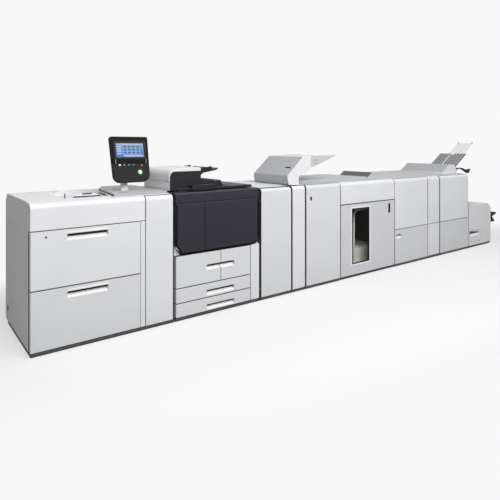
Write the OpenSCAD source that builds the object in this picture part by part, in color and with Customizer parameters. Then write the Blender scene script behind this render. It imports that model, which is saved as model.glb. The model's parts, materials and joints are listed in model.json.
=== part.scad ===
// Digital production printer line: paper feeder, printer, decurler, inserter,
// stacker, finisher, folder, booklet maker and trimmer, set side by side.
// Millimetres. Every shape is drawn with its zero at the feeder's front left
// corner, on the doors' lower edges, and place() moves it to the line's centre.

/* [Line] */
// Depth from the door faces to the back panels
line_d = 834; // [800:2:900]
// Height of the cabinet tops above the doors' lower edges
top_z = 985; // [970:1:1020]
// Height of the doors' lower edges above the floor
floor_gap = 28; // [24:1:50]
// Gap between modules that stand apart
wide_gap = 20; // [16:1:40]
// Gap between modules that dock closely
narrow_gap = 12; // [10:1:30]
// Height of the seam between upper and lower doors
split_z = 397; // [380:1:420]

/* [Module widths] */
// Paper feeder, drawers and fixed strip
feeder_w = 802; // [780:1:840]
// Transport column beside the drawers
column_w = 235; // [220:1:260]
// Printer
printer_w = 834; // [820:1:860]
// Decurler
decurler_w = 362; // [340:1:400]
// Inserter
inserter_w = 168; // [160:1:190]
// Stacker
stacker_w = 1390; // [1370:1:1430]
// Finisher
finisher_w = 654; // [630:1:700]
// Folder
folder_w = 252; // [240:1:280]
// Booklet maker
booklet_w = 690; // [670:1:720]
// Trimmer
trimmer_w = 601; // [580:1:640]
// Reach of the trimmer's exit tray past its cabinet
exit_reach = 186; // [160:1:220]

/* [Doors and shells] */
// Thickness of doors and drawer fronts
door_t = 42; // [40:1:50]
// Clearance between a door and the cabinet behind it
seam = 5; // [4:0.5:8]
// Clearance round the edges of a door or drawer front
reveal = 3; // [2:0.5:4]
// Radius of the rounded nose at the top of the tall doors
nose_r = 38; // [34:1:39]
// Thickness of cabinet walls
wall = 18; // [14:1:20]
// Thickness of a door's outer skin
skin = 4; // [3:0.5:5]
// Width of the rim round a door's hollow back
rim = 26; // [24:1:32]
// Radius of the hinge pins
pin_r = 5; // [4:0.5:5]
// Radial clearance of pins in their bores
pin_gap = 0.08; // [0.04:0.01:0.1]

/* [Feeder] */
// Height of the top cover's lower edge
cover_z = 794; // [785:1:800]
// Height of the seam between the two drawers
drawer_split_z = 403; // [395:1:410]
// Width of the fixed strip beside the drawers
strip_w = 38; // [34:1:50]
// Length of the drawers' handle recesses
handle_l = 282; // [240:1:320]
// Travel of the drawers' boxes in the feeder's depth
feeder_box_d = 600; // [560:5:620]

/* [Control panel] */
// Width of the panel at its top
panel_w = 312; // [290:1:330]
// Height of the panel along its face
panel_h = 364; // [340:1:380]
// Backward tilt of the panel
panel_tilt = 13; // [8:1:20]
// Width of the touch screen
screen_w = 238; // [210:1:240]
// Height of the touch screen
screen_h = 118; // [105:1:125]

/* [Printer] */
// Height of the seam under the black doors
black_z = 490; // [486:1:500]
// Height of the seam under the scanner
scanner_z = 897; // [894:1:900]
// Seam between the two black doors, from the printer's left side
black_split = 266; // [250:1:290]
// Seam between trays 1 and 2, from the printer's left side
tray_split = 424; // [400:1:440]
// Width of the fixed strip beside the trays
tray_side_w = 98; // [90:1:112]
// Height of the seam over tray 3
tray_3_z = 230; // [226:1:236]
// Height of the seam over tray 4
tray_4_z = 112; // [108:1:116]

/* [Stacker] */
// Width of the stacker's left door
left_door_w = 482; // [470:1:500]
// Height of the cart door's upper edge
cart_door_z = 747; // [735:1:760]
// Width of the window
window_w = 286; // [260:1:300]
// Height of the window
window_h = 585; // [560:1:600]
// Distance of the window from the stacker's left side
window_x = 661; // [650:1:680]
// Distance of the window's lower edge from the door's
window_z = 112; // [100:1:120]

/* [Hidden] */

white = "#dfe0e2";
light_grey = "#c2c3c5";
mid_grey = "#9a9c9f";
black = "#34343c";
steel = "#b4b8bc";

// Overrun of every cut past the face it opens
over = 1;
// Facets of large and small round shapes
fine = 64;
coarse = 32;
// Steps of a quarter arc in an outline
arc_n = 8;

// Places of the modules' left sides
column_x = feeder_w;
printer_x = column_x + column_w + wide_gap;
decurler_x = printer_x + printer_w + wide_gap;
inserter_x = decurler_x + decurler_w + narrow_gap;
stacker_x = inserter_x + inserter_w + narrow_gap;
finisher_x = stacker_x + stacker_w + narrow_gap;
folder_x = finisher_x + finisher_w + narrow_gap;
booklet_x = folder_x + folder_w + narrow_gap;
trimmer_x = booklet_x + booklet_w + wide_gap;
line_l = trimmer_x + trimmer_w + exit_reach;

// Cabinet side outline: front plane, sloping nose, crease and back corners
front_y = door_t + seam;
top_drop = 8;
nose_z = top_z - top_drop;
crease_y = 140;
back_cut_y = 56;
back_cut_z = 50;
base_r = 40;
back_rise = 26;
edge_r = 4;

// Hinges of the side-hung doors
hinge_in = 13;
boss_r = 8;
arm_h = 12;
arm_gap = 0.5;
notch_gap = 0.8;
pin_bite = 16;
hinge_low = 70;
hinge_high = 110;

function arc(cx, cy, r, a0, a1, n = arc_n) =
    [for (i = [0 : n]) let (a = a0 + (a1 - a0) * i / n)
        [cx + r * cos(a), cy + r * sin(a)]];

// Outline of a door's edge in depth and height, with a nose of radius r
function door_outline(z0, z1, t, r) = concat(
    [[t, z0]],
    arc(edge_r, z0 + edge_r, edge_r, 270, 180, 3),
    arc(max(r, edge_r), z1 - max(r, edge_r), max(r, edge_r), 180, 90),
    [[t, z1]]);

function cabinet_outline(rise) = concat(
    [[front_y, 0], [front_y, nose_z], [crease_y, top_z],
     [line_d - back_cut_y, top_z + rise], [line_d, top_z - back_cut_z],
     [line_d, base_r]],
    arc(line_d - base_r, base_r, base_r, 0, -90));

function box_outline(x0, y0, x1, y1) = [[x0, y0], [x1, y0], [x1, y1], [x0, y1]];

// Rectangle with round corners
function round_outline(x0, y0, x1, y1, r) = concat(
    arc(x1 - r, y0 + r, r, -90, 0), arc(x1 - r, y1 - r, r, 0, 90),
    arc(x0 + r, y1 - r, r, 90, 180), arc(x0 + r, y0 + r, r, 180, 270));

// Outline in depth and height drawn along the line
module slab_x(x, w, pts)
    translate([x, 0, 0]) rotate([90, 0, 90]) linear_extrude(w) polygon(pts);

// Outline in length and height drawn towards the back
module slab_y(y, d, pts)
    translate([0, y + d, 0]) rotate([90, 0, 0]) linear_extrude(d) polygon(pts);

// Outline in length and depth drawn upwards
module slab_z(z, h, pts)
    translate([0, 0, z]) linear_extrude(h) polygon(pts);

module block(x0, y0, z0, x1, y1, z1)
    translate([x0, y0, z0]) cube([x1 - x0, y1 - y0, z1 - z0]);

module rod_x(x, y, z, l, r)
    translate([x, y, z]) rotate([0, 90, 0]) cylinder(h = l, r = r, $fn = coarse);

module rod_y(x, y, z, l, r)
    translate([x, y, z]) rotate([-90, 0, 0]) cylinder(h = l, r = r, $fn = coarse);

module rod_z(x, y, z, l, r)
    translate([x, y, z]) cylinder(h = l, r = r, $fn = coarse);

module place()
    translate([-line_l / 2, -line_d / 2, floor_gap]) children();

// Hinge arm of a cabinet: a bored boss on a bar that runs back to the wall
module hinge_arm(x, z)
    difference() {
        union() {
            rod_z(x, hinge_in, z, arm_h, boss_r);
            block(x - boss_r, hinge_in, z, x + boss_r, front_y + wall, z + arm_h);
        }
        rod_z(x, hinge_in, z - over, arm_h + over * 2, pin_r + pin_gap);
    }

module hinge_arms(x, z0, z1) {
    hinge_arm(x, z0 + hinge_low);
    hinge_arm(x, z1 - hinge_high);
}

// Room in a door for one hinge arm; side is 1 for a right hinge, -1 for left
module hinge_notch(x, z, side) {
    z0 = z - arm_gap;
    z1 = z + arm_h + arm_gap;
    reach = hinge_in + over;
    inner = boss_r + notch_gap;
    if (side > 0) block(x - inner, hinge_in - inner, z0, x + reach, door_t + over, z1);
    if (side < 0) block(x - reach, hinge_in - inner, z0, x + inner, door_t + over, z1);
}

// Solid wall round a pocket in a door's hollow back
module pocket_wall(x0, x1, z0, z1, d)
    block(x0 - skin, skin / 2, z0 - skin, x1 + skin, d + skin, z1 + skin);

// Side-hung door: nose, hollow back, notches and pins
module hinged_door(x, w, z0, z1, r, side) {
    hx = side > 0 ? x + w - hinge_in : x + hinge_in;
    top_rim = max(r, rim);
    difference() {
        slab_x(x, w, door_outline(z0, z1, door_t, r));
        block(x + rim, skin, z0 + rim, x + w - rim, door_t + over, z1 - top_rim);
        hinge_notch(hx, z0 + hinge_low, side);
        hinge_notch(hx, z1 - hinge_high, side);
    }
    for (z = [z0 + hinge_low, z1 - hinge_high])
        rod_z(hx, hinge_in, z - pin_bite, arm_h + pin_bite * 2, pin_r);
}

// Bridge for the sheets between two modules, face to face with the left one
dock_y = 300;
dock_w = 140;
dock_z = 700;
dock_h = 60;
module dock(x, gap, z = dock_z)
    block(x - gap, dock_y, z, x + over, dock_y + dock_w, z + dock_h);

module cabinet_block(x, w, rise = 0) slab_x(x, w, cabinet_outline(rise));

// Opening cut into a cabinet from its front plane
module bay(x0, x1, z0, z1, d)
    block(x0, front_y - over, z0, x1, front_y + d, z1);

// Drawers: boxes behind the fronts, carried by rails on ledges in the bays
rail_w = 12;
rail_h = 26;
ledge_h = 10;
ledge_in = 10;
rail_gap = 0.3;
side_gap = 1;
box_wall = 4;
box_floor = 6;
box_lift = 22;

// Box and rails of a drawer whose bay runs from x0 to x1
module drawer_box(x0, x1, z0, h, d) {
    bx0 = x0 + rail_w + side_gap;
    bx1 = x1 - rail_w - side_gap;
    bz0 = z0 + box_lift;
    by0 = door_t - over;
    difference() {
        block(bx0, by0, bz0, bx1, door_t + d, bz0 + h);
        block(bx0 + box_wall, door_t, bz0 + box_floor,
              bx1 - box_wall, door_t + d - box_wall, bz0 + h + over);
    }
    block(x0 + side_gap, by0, bz0, bx0 + over, door_t + d, bz0 + rail_h);
    block(bx1 - over, by0, bz0, x1 - side_gap, door_t + d, bz0 + rail_h);
}

// Ledges of a bay, just under the drawer's rails
module ledges(x0, x1, z0, d) {
    lz = z0 + box_lift - rail_gap - ledge_h;
    block(x0 - over, front_y, lz, x0 + ledge_in, front_y + d, lz + ledge_h);
    block(x1 - ledge_in, front_y, lz, x1 + over, front_y + d, lz + ledge_h);
}

// Handle recess: a pocket with a sloping floor, cut in from the front
recess_d = 28;
recess_h = 42;
recess_slope = 20;
recess_lip = 10;
module handle_recess(x0, x1, z1)
    slab_x(x0, x1 - x0, [[-over, z1 - recess_h], [recess_lip, z1 - recess_h],
        [recess_d, z1 - recess_h + recess_slope], [recess_d, z1], [-over, z1]]);

// Paper feeder
feeder_bay_d = 680;
divider_t = 12;
handle_x = 236;
handle_drop = 36;
feeder_box_h = 250;
feeder_fence_x = 90;
feeder_fence_t = 8;
feeder_fence_h = 190;
lift_plate_lift = 24;
side_groove_y0 = 165;
side_groove_y1 = 712;
side_groove_z0 = 868;
side_groove_z1 = 884;
side_groove_h = 6;
side_groove_d = 3;
side_dot_y = 739;
side_dot_z = 101;
side_dot_r = 8;
seat_gap = 0.3;
cap_h = 30;
column_bay_d = 150;
feeder_bay_x0 = wall;
feeder_bay_x1 = feeder_w - strip_w - wall;

module feeder_cabinet() color(white) {
    difference() {
        union() {
            cabinet_block(0, feeder_w + column_w);
            block(feeder_w - strip_w, 0, reveal, feeder_w, front_y + over, cover_z - reveal);
        }
        block(-over, -over, cover_z, feeder_w + over, line_d + over, top_z + over);
        block(feeder_w, -over, top_z - cap_h, feeder_w + column_w + over,
              line_d + over, top_z + over);
        bay(feeder_bay_x0, feeder_bay_x1, wall, drawer_split_z - divider_t / 2, feeder_bay_d);
        bay(feeder_bay_x0, feeder_bay_x1, drawer_split_z + divider_t / 2,
            cover_z - wall, feeder_bay_d);
        bay(column_x + wall, column_x + column_w - wall, wall, top_z - cap_h - wall, column_bay_d);
        translate([-over, side_dot_y, side_dot_z]) rotate([0, 90, 0])
            cylinder(h = side_groove_d * 2, r = side_dot_r, $fn = coarse);
        back_grille(feeder_w / 2);
        back_grille(feeder_w / 4);
    }
    ledges(feeder_bay_x0, feeder_bay_x1, wall, feeder_bay_d);
    ledges(feeder_bay_x0, feeder_bay_x1, drawer_split_z + divider_t / 2, feeder_bay_d);
    hinge_arms(column_x + column_w - reveal - hinge_in, 0, nose_z);
    transport_rollers(column_x + wall, column_x + column_w - wall);
}

// Slots for cooling air in a back panel
grille_n = 7;
grille_w = 120;
grille_slot = 6;
grille_pitch = 16;
grille_z = 560;
grille_t = 6;
module back_grille(x)
    for (i = [0 : grille_n - 1])
        block(x, line_d - grille_t, grille_z + i * grille_pitch, x + grille_w,
              line_d + over, grille_z + i * grille_pitch + grille_slot);

// Paper guide rollers on their plate in a module's shallow bay
roller_r = 16;
roller_len = 60;
roller_zs_share = [0.3, 0.5, 0.7];
module transport_rollers(x0, x1)
    for (s = roller_zs_share)
        rod_y((x0 + x1) / 2, front_y + column_bay_d - roller_len, top_z * s,
              roller_len + over, roller_r);

// Top cover: nosed shell with the bypass tray's recess and a raised housing
shell_t = 14;
bypass_x0 = 258;
bypass_x1 = 640;
bypass_y0 = 140;
bypass_y1 = 610;
bypass_d = 26;
housing_h = 18;
housing_front_x = 655;
housing_rear_x = 742;
housing_back_x = 568;
housing_y0 = 70;
housing_back = 58;
housing_y1 = line_d - housing_back;
feed_slot_x = 690;
feed_slot_h = 14;

module feeder_top_cover() color(white) {
    difference() {
        slab_x(0, feeder_w + column_w, concat([[line_d - back_cut_y, top_z],
            [line_d, top_z - back_cut_z], [line_d, cover_z + seat_gap],
            [0, cover_z + seat_gap]],
            arc(nose_r, nose_z - nose_r, nose_r, 180, 90), [[crease_y, top_z]]));
        block(feeder_w, -over, cover_z - over, feeder_w + column_w + over, line_d + over,
              top_z - cap_h + seat_gap);
        block(feeder_w, -over, cover_z - over, feeder_w + column_w + over, front_y,
              top_z + over);
        block(wall, front_y, cover_z - over, feeder_w - wall, line_d - back_cut_y,
              top_z - bypass_d - shell_t);
        block(bypass_x0, bypass_y0, top_z - bypass_d, feed_slot_x, bypass_y1, top_z + over);
        slab_x(-over, side_groove_d + over, [[side_groove_y0, side_groove_z0],
            [side_groove_y1, side_groove_z1], [side_groove_y1, side_groove_z1 + side_groove_h],
            [side_groove_y0, side_groove_z0 + side_groove_h]]);
    }
    // Housing over the feed slot, with its slanted left side
    slab_z(top_z - bypass_d + feed_slot_h, bypass_d - feed_slot_h + housing_h,
        [[housing_front_x, bypass_y1 - wall], [housing_back_x + wall, housing_y0],
         [column_x + column_w - wall, housing_y0], [column_x + column_w - wall, housing_y1],
         [housing_rear_x, housing_y1]]);
}

// Bypass guides: low fences on flat feet that slide in the recess
guide_t = 6;
guide_h = 44;
guide_foot = 34;
guide_foot_t = 3;
guide_l = 230;
guide_x = bypass_x0 + 40;
guide_in = 16;
guide_travel = 150;

module bypass_guide(y, dir) color(light_grey) {
    z = top_z - bypass_d + seat_gap;
    y0 = dir > 0 ? y : y - guide_foot;
    block(guide_x, y0, z, guide_x + guide_l, y0 + guide_foot, z + guide_foot_t);
    yw = dir > 0 ? y : y - guide_t;
    slab_y(yw, guide_t, [[guide_x, z], [guide_x + guide_l, z],
        [guide_x + guide_l, z + guide_h / 2], [guide_x + guide_l - guide_h, z + guide_h],
        [guide_x + guide_h, z + guide_h], [guide_x, z + guide_h / 3]]);
}
module bypass_front_guide() bypass_guide(bypass_y0 + guide_in, 1);
module bypass_rear_guide() bypass_guide(bypass_y1 - guide_in, -1);

// One feeder drawer between two seams
module feeder_drawer(z0, z1) color(white) {
    difference() {
        slab_x(reveal, feeder_w - strip_w - reveal * 2, door_outline(z0 + reveal / 2,
            z1 - reveal / 2, door_t, edge_r));
        handle_recess(handle_x, handle_x + handle_l, z1 - handle_drop);
    }
    bz = z0 > 0 ? z0 + divider_t / 2 : wall;
    drawer_box(feeder_bay_x0, feeder_bay_x1, bz, feeder_box_h, feeder_box_d);
    floor_z = bz + box_lift + box_floor;
    fx = feeder_bay_x0 + rail_w + side_gap + feeder_fence_x;
    block(fx, door_t + feeder_fence_x, floor_z - over, fx + feeder_fence_t,
          door_t + feeder_box_d - feeder_fence_x, floor_z + feeder_fence_h);
    block(fx + feeder_fence_t * 2, door_t + feeder_fence_t * 2, floor_z - over,
          feeder_bay_x1 - rail_w - feeder_fence_t * 3,
          door_t + feeder_box_d - feeder_fence_t * 2, floor_z + lift_plate_lift);
}
module feeder_upper_drawer() feeder_drawer(drawer_split_z, cover_z);
module feeder_lower_drawer() feeder_drawer(0, drawer_split_z);

module column_door() color(white)
    hinged_door(column_x + reveal, column_w - reveal * 2, 0, nose_z, nose_r, 1);

// Control panel on its post; the panel is drawn upright and then tilted
post_x0 = 717;
post_x1 = 763;
post_y0 = 242;
post_y1 = 282;
post_h = 48;
post_taper = 8;
swivel_r = 18;
swivel_t = 3;
spigot_r = 12;
spigot_l = 24;
swivel_gap = 0.3;
panel_t = 40;
panel_x = 784;
panel_clear = 12;
panel_y = post_y0 - panel_t - panel_clear;
panel_bottom_r = 56;
panel_top_r = 12;
panel_taper = 8;
neck_w = 60;
neck_in = 22;
neck_h = 38;
tilt_axis_y = 262;
tilt_r = 7;
ear_t = 10;
ear_gap = 0.4;
post_x = (post_x0 + post_x1) / 2;
post_top = top_z + housing_h + post_h;
swivel_z = post_top + swivel_gap;
tilt_z = swivel_z + swivel_t + neck_h - tilt_r * 2;

module screen_post() color(light_grey) difference() {
    slab_y(post_y0, post_y1 - post_y0, [[post_x0 - post_taper, top_z + housing_h],
        [post_x1 + post_taper, top_z + housing_h], [post_x1, post_top], [post_x0, post_top]]);
    rod_z(post_x, tilt_axis_y, post_top - spigot_l - over, spigot_l + over * 2,
          spigot_r + pin_gap);
}

module screen_swivel() color(mid_grey) difference() {
    union() {
        rod_z(post_x, tilt_axis_y, post_top - spigot_l, spigot_l + over, spigot_r);
        rod_z(post_x, tilt_axis_y, swivel_z, swivel_t, swivel_r);
        block(post_x - neck_w / 4, tilt_axis_y - tilt_r * 2, swivel_z + swivel_t - over,
              post_x + neck_w / 4, tilt_axis_y + tilt_r * 2, tilt_z);
        rod_x(post_x - neck_w / 4, tilt_axis_y, tilt_z, neck_w / 2, tilt_r * 2);
    }
    rod_x(post_x - neck_w / 2, tilt_axis_y, tilt_z, neck_w, tilt_r + pin_gap);
}

// Face outline of the panel in width and height
function panel_outline(inset) = concat(
    arc(panel_w / 2 - panel_taper - panel_bottom_r, panel_bottom_r + inset,
        panel_bottom_r, -90, 0),
    arc(panel_w / 2 - panel_top_r - inset, panel_h - panel_top_r - inset, panel_top_r, 0, 90),
    arc(-panel_w / 2 + panel_top_r + inset, panel_h - panel_top_r - inset,
        panel_top_r, 90, 180),
    arc(-panel_w / 2 + panel_taper + panel_bottom_r, panel_bottom_r + inset,
        panel_bottom_r, 180, 270));

panel_z = tilt_z - tilt_r * 3;
screen_z = 195;
screen_t = 3;
bezel_d = 2;
key_r = 20;
key_t = 7;
key_proud = 3;
key_gap = 0.3;
key_travel = 2;
start_z = 76;
start_x = 66;
stop_x = 86;
stop_z = 129;
stop_r = 9;
menu_x = -104;
menu_w = 16;
menu_h = 12;
menu_pitch = 37;
menu_n = 4;
menu_z = 130;
menu_proud = 2;

module panel_frame()
    translate([post_x, tilt_axis_y, tilt_z]) rotate([-panel_tilt, 0, 0])
        translate([panel_x - post_x, panel_y - tilt_axis_y, panel_z - tilt_z]) children();

module control_panel() color(black) {
    panel_frame() {
        difference() {
            slab_y(0, panel_t, panel_outline(0));
            block(-screen_w / 2, -over, screen_z, screen_w / 2, bezel_d + screen_t,
                  screen_z + screen_h);
            rod_y(start_x, -over, start_z, key_t + key_travel + over * 2, key_r + key_gap);
            rod_y(stop_x, -over, stop_z, key_t + key_travel + over * 2, stop_r + key_gap);
        }
    }
    translate([post_x, tilt_axis_y, tilt_z]) rotate([-panel_tilt, 0, 0]) {
        rod_x(-neck_w / 4 - ear_gap - ear_t, 0, 0, neck_w / 2 + (ear_gap + ear_t) * 2, tilt_r);
        for (s = [-1, 1]) {
            ex = s * (neck_w / 4 + ear_gap + ear_t / 2);
            block(ex - ear_t / 2, panel_y + panel_t - tilt_axis_y - over, -neck_in / 2,
                  ex + ear_t / 2, 0, neck_in / 2);
            rod_x(ex - ear_t / 2, 0, 0, ear_t, neck_in / 2);
        }
    }
}

module touch_screen() color("#5f9fd8") panel_frame()
    block(-screen_w / 2 + key_gap, bezel_d, screen_z + key_gap,
          screen_w / 2 - key_gap, bezel_d + screen_t - key_gap / 2, screen_z + screen_h - key_gap);

module round_key(x, z, r) panel_frame()
    rod_y(x, -key_proud, z, key_t + key_proud, r);
module start_key() color("#3fae6a") round_key(start_x, start_z, key_r);
module stop_key() color("#b0483c") round_key(stop_x, stop_z, stop_r);

module menu_keys() color(light_grey) panel_frame()
    for (i = [0 : menu_n - 1])
        block(menu_x + i * menu_pitch, -menu_proud, menu_z,
              menu_x + i * menu_pitch + menu_w, 0, menu_z + menu_h);

// Printer
printer_bay_d = 520;
inner_bay_d = 420;
scanner_d = 646;
scanner_step = 8;
// The printer's back chamfer, limited by the tower behind the scanner
tower_cut_y = min(back_cut_y, (line_d - scanner_d - reveal) / 2);
corner_w = 54;
corner_h = 72;
round_w = 78;
round_h = 36;
wedge_y = 28;
corner_gap = 2;
round_x = printer_x + printer_w - reveal - round_w;
// Rounded lower corner of the right black door, g below its edge
function round_edge(g) = [for (i = [0 : arc_n]) let (a = 90 * i / arc_n)
    [round_x + (round_w - reveal + g) * sin(a),
     black_z + reveal / 2 - g + round_h * (1 - cos(a))]];
tray_zone_w = printer_w - tray_side_w;
tray_bay_x0 = printer_x + wall;
tray_bay_x1 = printer_x + tray_zone_w - wall;
tray_div_x = printer_x + tray_split;
small_div = 10;
tray_grip_w = 138;
tray_grip_drop = 110;
low_grip_drop = 58;
tray_box_h = 74;
tray_box_d = 480;
high_tray_h = 170;
shelf_z = black_z - small_div;
inlet_w = 30;
inlet_h = 24;
inlet_x = 90;
inlet_z = 120;
inlet_d = 22;

module printer_cabinet() color(white) {
    difference() {
        union() {
            slab_x(printer_x, printer_w, concat([[front_y, 0],
                [front_y, scanner_z - scanner_step], [scanner_d + reveal, scanner_z - scanner_step],
                [scanner_d + reveal, top_z], [line_d - tower_cut_y, top_z],
                [line_d, top_z - back_cut_z], [line_d, base_r]],
                arc(line_d - base_r, base_r, base_r, 0, -90)));
            block(printer_x + tray_zone_w + reveal, 0, reveal, printer_x + printer_w - reveal,
                  front_y + over, black_z - reveal);
            // White corners seen beside the black doors' cut corners
            slab_y(wedge_y, front_y - wedge_y + over, [[printer_x, black_z - reveal],
                [printer_x + corner_w, black_z - reveal],
                [printer_x + corner_w, black_z - reveal / 2], [printer_x, black_z + corner_h]]);
            slab_y(wedge_y, front_y - wedge_y + over, concat(
                [[printer_x + printer_w, black_z + round_h],
                 [printer_x + printer_w, black_z - reveal], [round_x, black_z - reveal]],
                round_edge(corner_gap)));
        }
        bay(tray_bay_x0, tray_bay_x1, wall / 2, tray_4_z - small_div / 2, printer_bay_d);
        bay(tray_bay_x0, tray_bay_x1, tray_4_z + small_div / 2,
            tray_3_z - small_div / 2, printer_bay_d);
        bay(tray_bay_x0, tray_div_x - small_div / 2, tray_3_z + small_div / 2,
            shelf_z - small_div, printer_bay_d);
        bay(tray_div_x + small_div / 2, tray_bay_x1, tray_3_z + small_div / 2,
            shelf_z - small_div, printer_bay_d);
        bay(printer_x + wall, printer_x + printer_w - wall, black_z + small_div,
            scanner_z - scanner_step - wall, inner_bay_d);
        block(printer_x + inlet_x, line_d - inlet_d, inlet_z,
              printer_x + inlet_x + inlet_w, line_d + over, inlet_z + inlet_h);
        back_grille(printer_x + printer_w / 2);
    }
    ledges(tray_bay_x0, tray_bay_x1, wall / 2, printer_bay_d);
    ledges(tray_bay_x0, tray_bay_x1, tray_4_z + small_div / 2, printer_bay_d);
    ledges(tray_bay_x0, tray_div_x - small_div / 2, tray_3_z + small_div / 2, printer_bay_d);
    ledges(tray_div_x + small_div / 2, tray_bay_x1, tray_3_z + small_div / 2, printer_bay_d);
    dock(printer_x, wide_gap);
    hinge_arms(printer_x + reveal + hinge_in, black_z + corner_h / 2, scanner_z - reveal);
    hinge_arms(printer_x + printer_w - reveal * 2 - hinge_in, black_z + corner_h / 2,
               scanner_z - reveal);
}

// Black front doors with their cut and rounded lower corners
module left_front_door() color(black) difference() {
    hinged_black_door(printer_x + reveal, black_split - reveal * 2, -1);
    slab_y(-over, door_t + over * 2, [[printer_x - over, black_z - over],
        [printer_x + corner_w + reveal, black_z - over],
        [printer_x + corner_w + reveal, black_z + reveal / 2],
        [printer_x - over, black_z + corner_h + reveal]]);
}

module right_front_door() color(black) difference() {
    hinged_black_door(printer_x + black_split + reveal,
                      printer_w - black_split - reveal * 3, 1);
    difference() {
        block(round_x, -over, black_z - over, printer_x + printer_w, door_t + over,
              black_z + round_h + reveal);
        slab_y(-over * 2, door_t + over * 4, concat(round_edge(0),
            [[round_x + round_w - reveal, scanner_z], [round_x - round_w, scanner_z],
             [round_x - round_w, black_z + reveal / 2]]));
    }
}

module hinged_black_door(x, w, side) {
    z0 = black_z + reveal / 2;
    z1 = scanner_z - reveal;
    hx = side > 0 ? x + w - hinge_in : x + hinge_in;
    difference() {
        slab_x(x, w, door_outline(z0, z1, door_t, edge_r));
        block(x + rim * 2, skin, z0 + rim * 2, x + w - rim * 2, door_t + over, z1 - rim);
        hinge_notch(hx, black_z + corner_h / 2 + hinge_low, side);
        hinge_notch(hx, z1 - hinge_high, side);
    }
    for (z = [black_z + corner_h / 2 + hinge_low, z1 - hinge_high])
        rod_z(hx, hinge_in, z - pin_bite, arm_h + pin_bite * 2, pin_r);
}

// Units inside the printer, on the bay's floor
drum_x = 300;
drum_r = 42;
drum_body_h = 60;
drum_d = 380;
fuser_w = 96;
fuser_side = 38;
unit_space = 40;
fuser_x = printer_w - fuser_w - fuser_side;
drum_w = fuser_x - drum_x - unit_space;
fuser_h = 150;
unit_y = 66;
unit_face = 8;
unit_knob_r = 18;
unit_knob_t = 14;
bay_floor_z = black_z + small_div;

module drum_unit() color(mid_grey) {
    x0 = printer_x + drum_x;
    block(x0, unit_y, bay_floor_z, x0 + drum_w, unit_y + drum_d, bay_floor_z + drum_body_h);
    for (i = [0 : 3]) {
        dx = x0 + drum_w * (i * 2 + 1) / 8;
        rod_y(dx, unit_y + unit_face, bay_floor_z + drum_body_h + drum_r / 2,
              drum_d - unit_face * 2, drum_r);
    }
    block(x0, unit_y - unit_face, bay_floor_z, x0 + drum_w, unit_y,
          bay_floor_z + drum_body_h + drum_r * 2);
    rod_y(x0 + drum_w / 2, unit_y - unit_face - unit_knob_t,
          bay_floor_z + drum_body_h + drum_r, unit_knob_t + over, unit_knob_r);
}

module fuser_unit() color(steel) {
    x0 = printer_x + fuser_x;
    block(x0, unit_y, bay_floor_z, x0 + fuser_w, unit_y + drum_d, bay_floor_z + fuser_h);
    for (z = [fuser_h + unit_knob_r, fuser_h + unit_knob_r * 3])
        rod_y(x0 + fuser_w / 2, unit_y + unit_face, bay_floor_z + z, drum_d - unit_face * 2,
              unit_knob_r + over);
    rod_y(x0 + fuser_w / 2, unit_y - unit_knob_t, bay_floor_z + fuser_h / 2,
          unit_knob_t + over, unit_knob_r);
}

// One of the printer's four paper trays
module tray(x0, x1, z0, z1, bx0, bx1, box_h, grip_x0, grip_x1, grip_z) color(white) {
    difference() {
        slab_x(x0 + reveal / 2, x1 - x0 - reveal, door_outline(z0 + reveal / 2,
            z1 - reveal / 2, door_t, edge_r));
        handle_recess(grip_x0, grip_x1, grip_z);
    }
    drawer_box(bx0, bx1, z0 == 0 ? wall / 2 : z0 + small_div / 2, box_h, tray_box_d);
}
tray_x0 = printer_x + reveal;
tray_x1 = printer_x + tray_zone_w - reveal / 2;
high_grip_z = black_z - tray_grip_drop;
module paper_tray_1() tray(tray_x0, tray_div_x, tray_3_z, black_z - reveal, tray_bay_x0,
    tray_div_x - small_div / 2, high_tray_h, tray_div_x - tray_grip_w, tray_div_x + over,
    high_grip_z);
module paper_tray_2() tray(tray_div_x, tray_x1, tray_3_z, black_z - reveal,
    tray_div_x + small_div / 2, tray_bay_x1, high_tray_h, tray_div_x - over,
    tray_div_x + tray_grip_w, high_grip_z);
module paper_tray_3() tray(tray_x0, tray_x1, tray_4_z, tray_3_z, tray_bay_x0, tray_bay_x1,
    tray_box_h, tray_div_x - tray_grip_w, tray_div_x + tray_grip_w, tray_3_z - low_grip_drop);
module paper_tray_4() tray(tray_x0, tray_x1, 0, tray_4_z, tray_bay_x0, tray_bay_x1,
    tray_box_h, tray_div_x - tray_grip_w, tray_div_x + tray_grip_w, tray_4_z - low_grip_drop);

// Scanner with its glass and the hinge ears of the document feeder
glass_x0 = 90;
glass_w = 440;
glass_y0 = 110;
glass_d = 310;
glass_t = 4;
scan_top = top_z;
band_bevel = 18;
ear_x = 100;
ear_w = 16;
ear_y = 626;
ear_z = 1004;
ear_r = 11;
ear_pin_r = 6;
ear_spacing = 560;

module scanner_base() color(black) difference() {
    union() {
        slab_x(printer_x - reveal, printer_w - reveal, concat(
            [[scanner_d, scanner_z - scanner_step + seat_gap],
             [front_y, scanner_z - scanner_step + seat_gap], [front_y, scanner_z],
             [edge_r, scanner_z]],
            [[0, scanner_z + edge_r], [0, scan_top - band_bevel], [edge_r, scan_top - edge_r]],
            [[band_bevel, scan_top], [scanner_d, scan_top]]));
        for (s = [0, 1]) {
            ex = printer_x + ear_x + s * ear_spacing;
            block(ex, ear_y - ear_r, scan_top - over, ex + ear_w, ear_y + ear_r, ear_z);
            rod_x(ex, ear_y, ear_z, ear_w, ear_r);
        }
    }
    block(printer_x + glass_x0, glass_y0, scan_top - glass_t, printer_x + glass_x0 + glass_w,
          glass_y0 + glass_d, scan_top + over);
    for (s = [0, 1])
        rod_x(printer_x + ear_x + s * ear_spacing - over, ear_y, ear_z, ear_w + over * 2,
              ear_pin_r + pin_gap);
}

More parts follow.
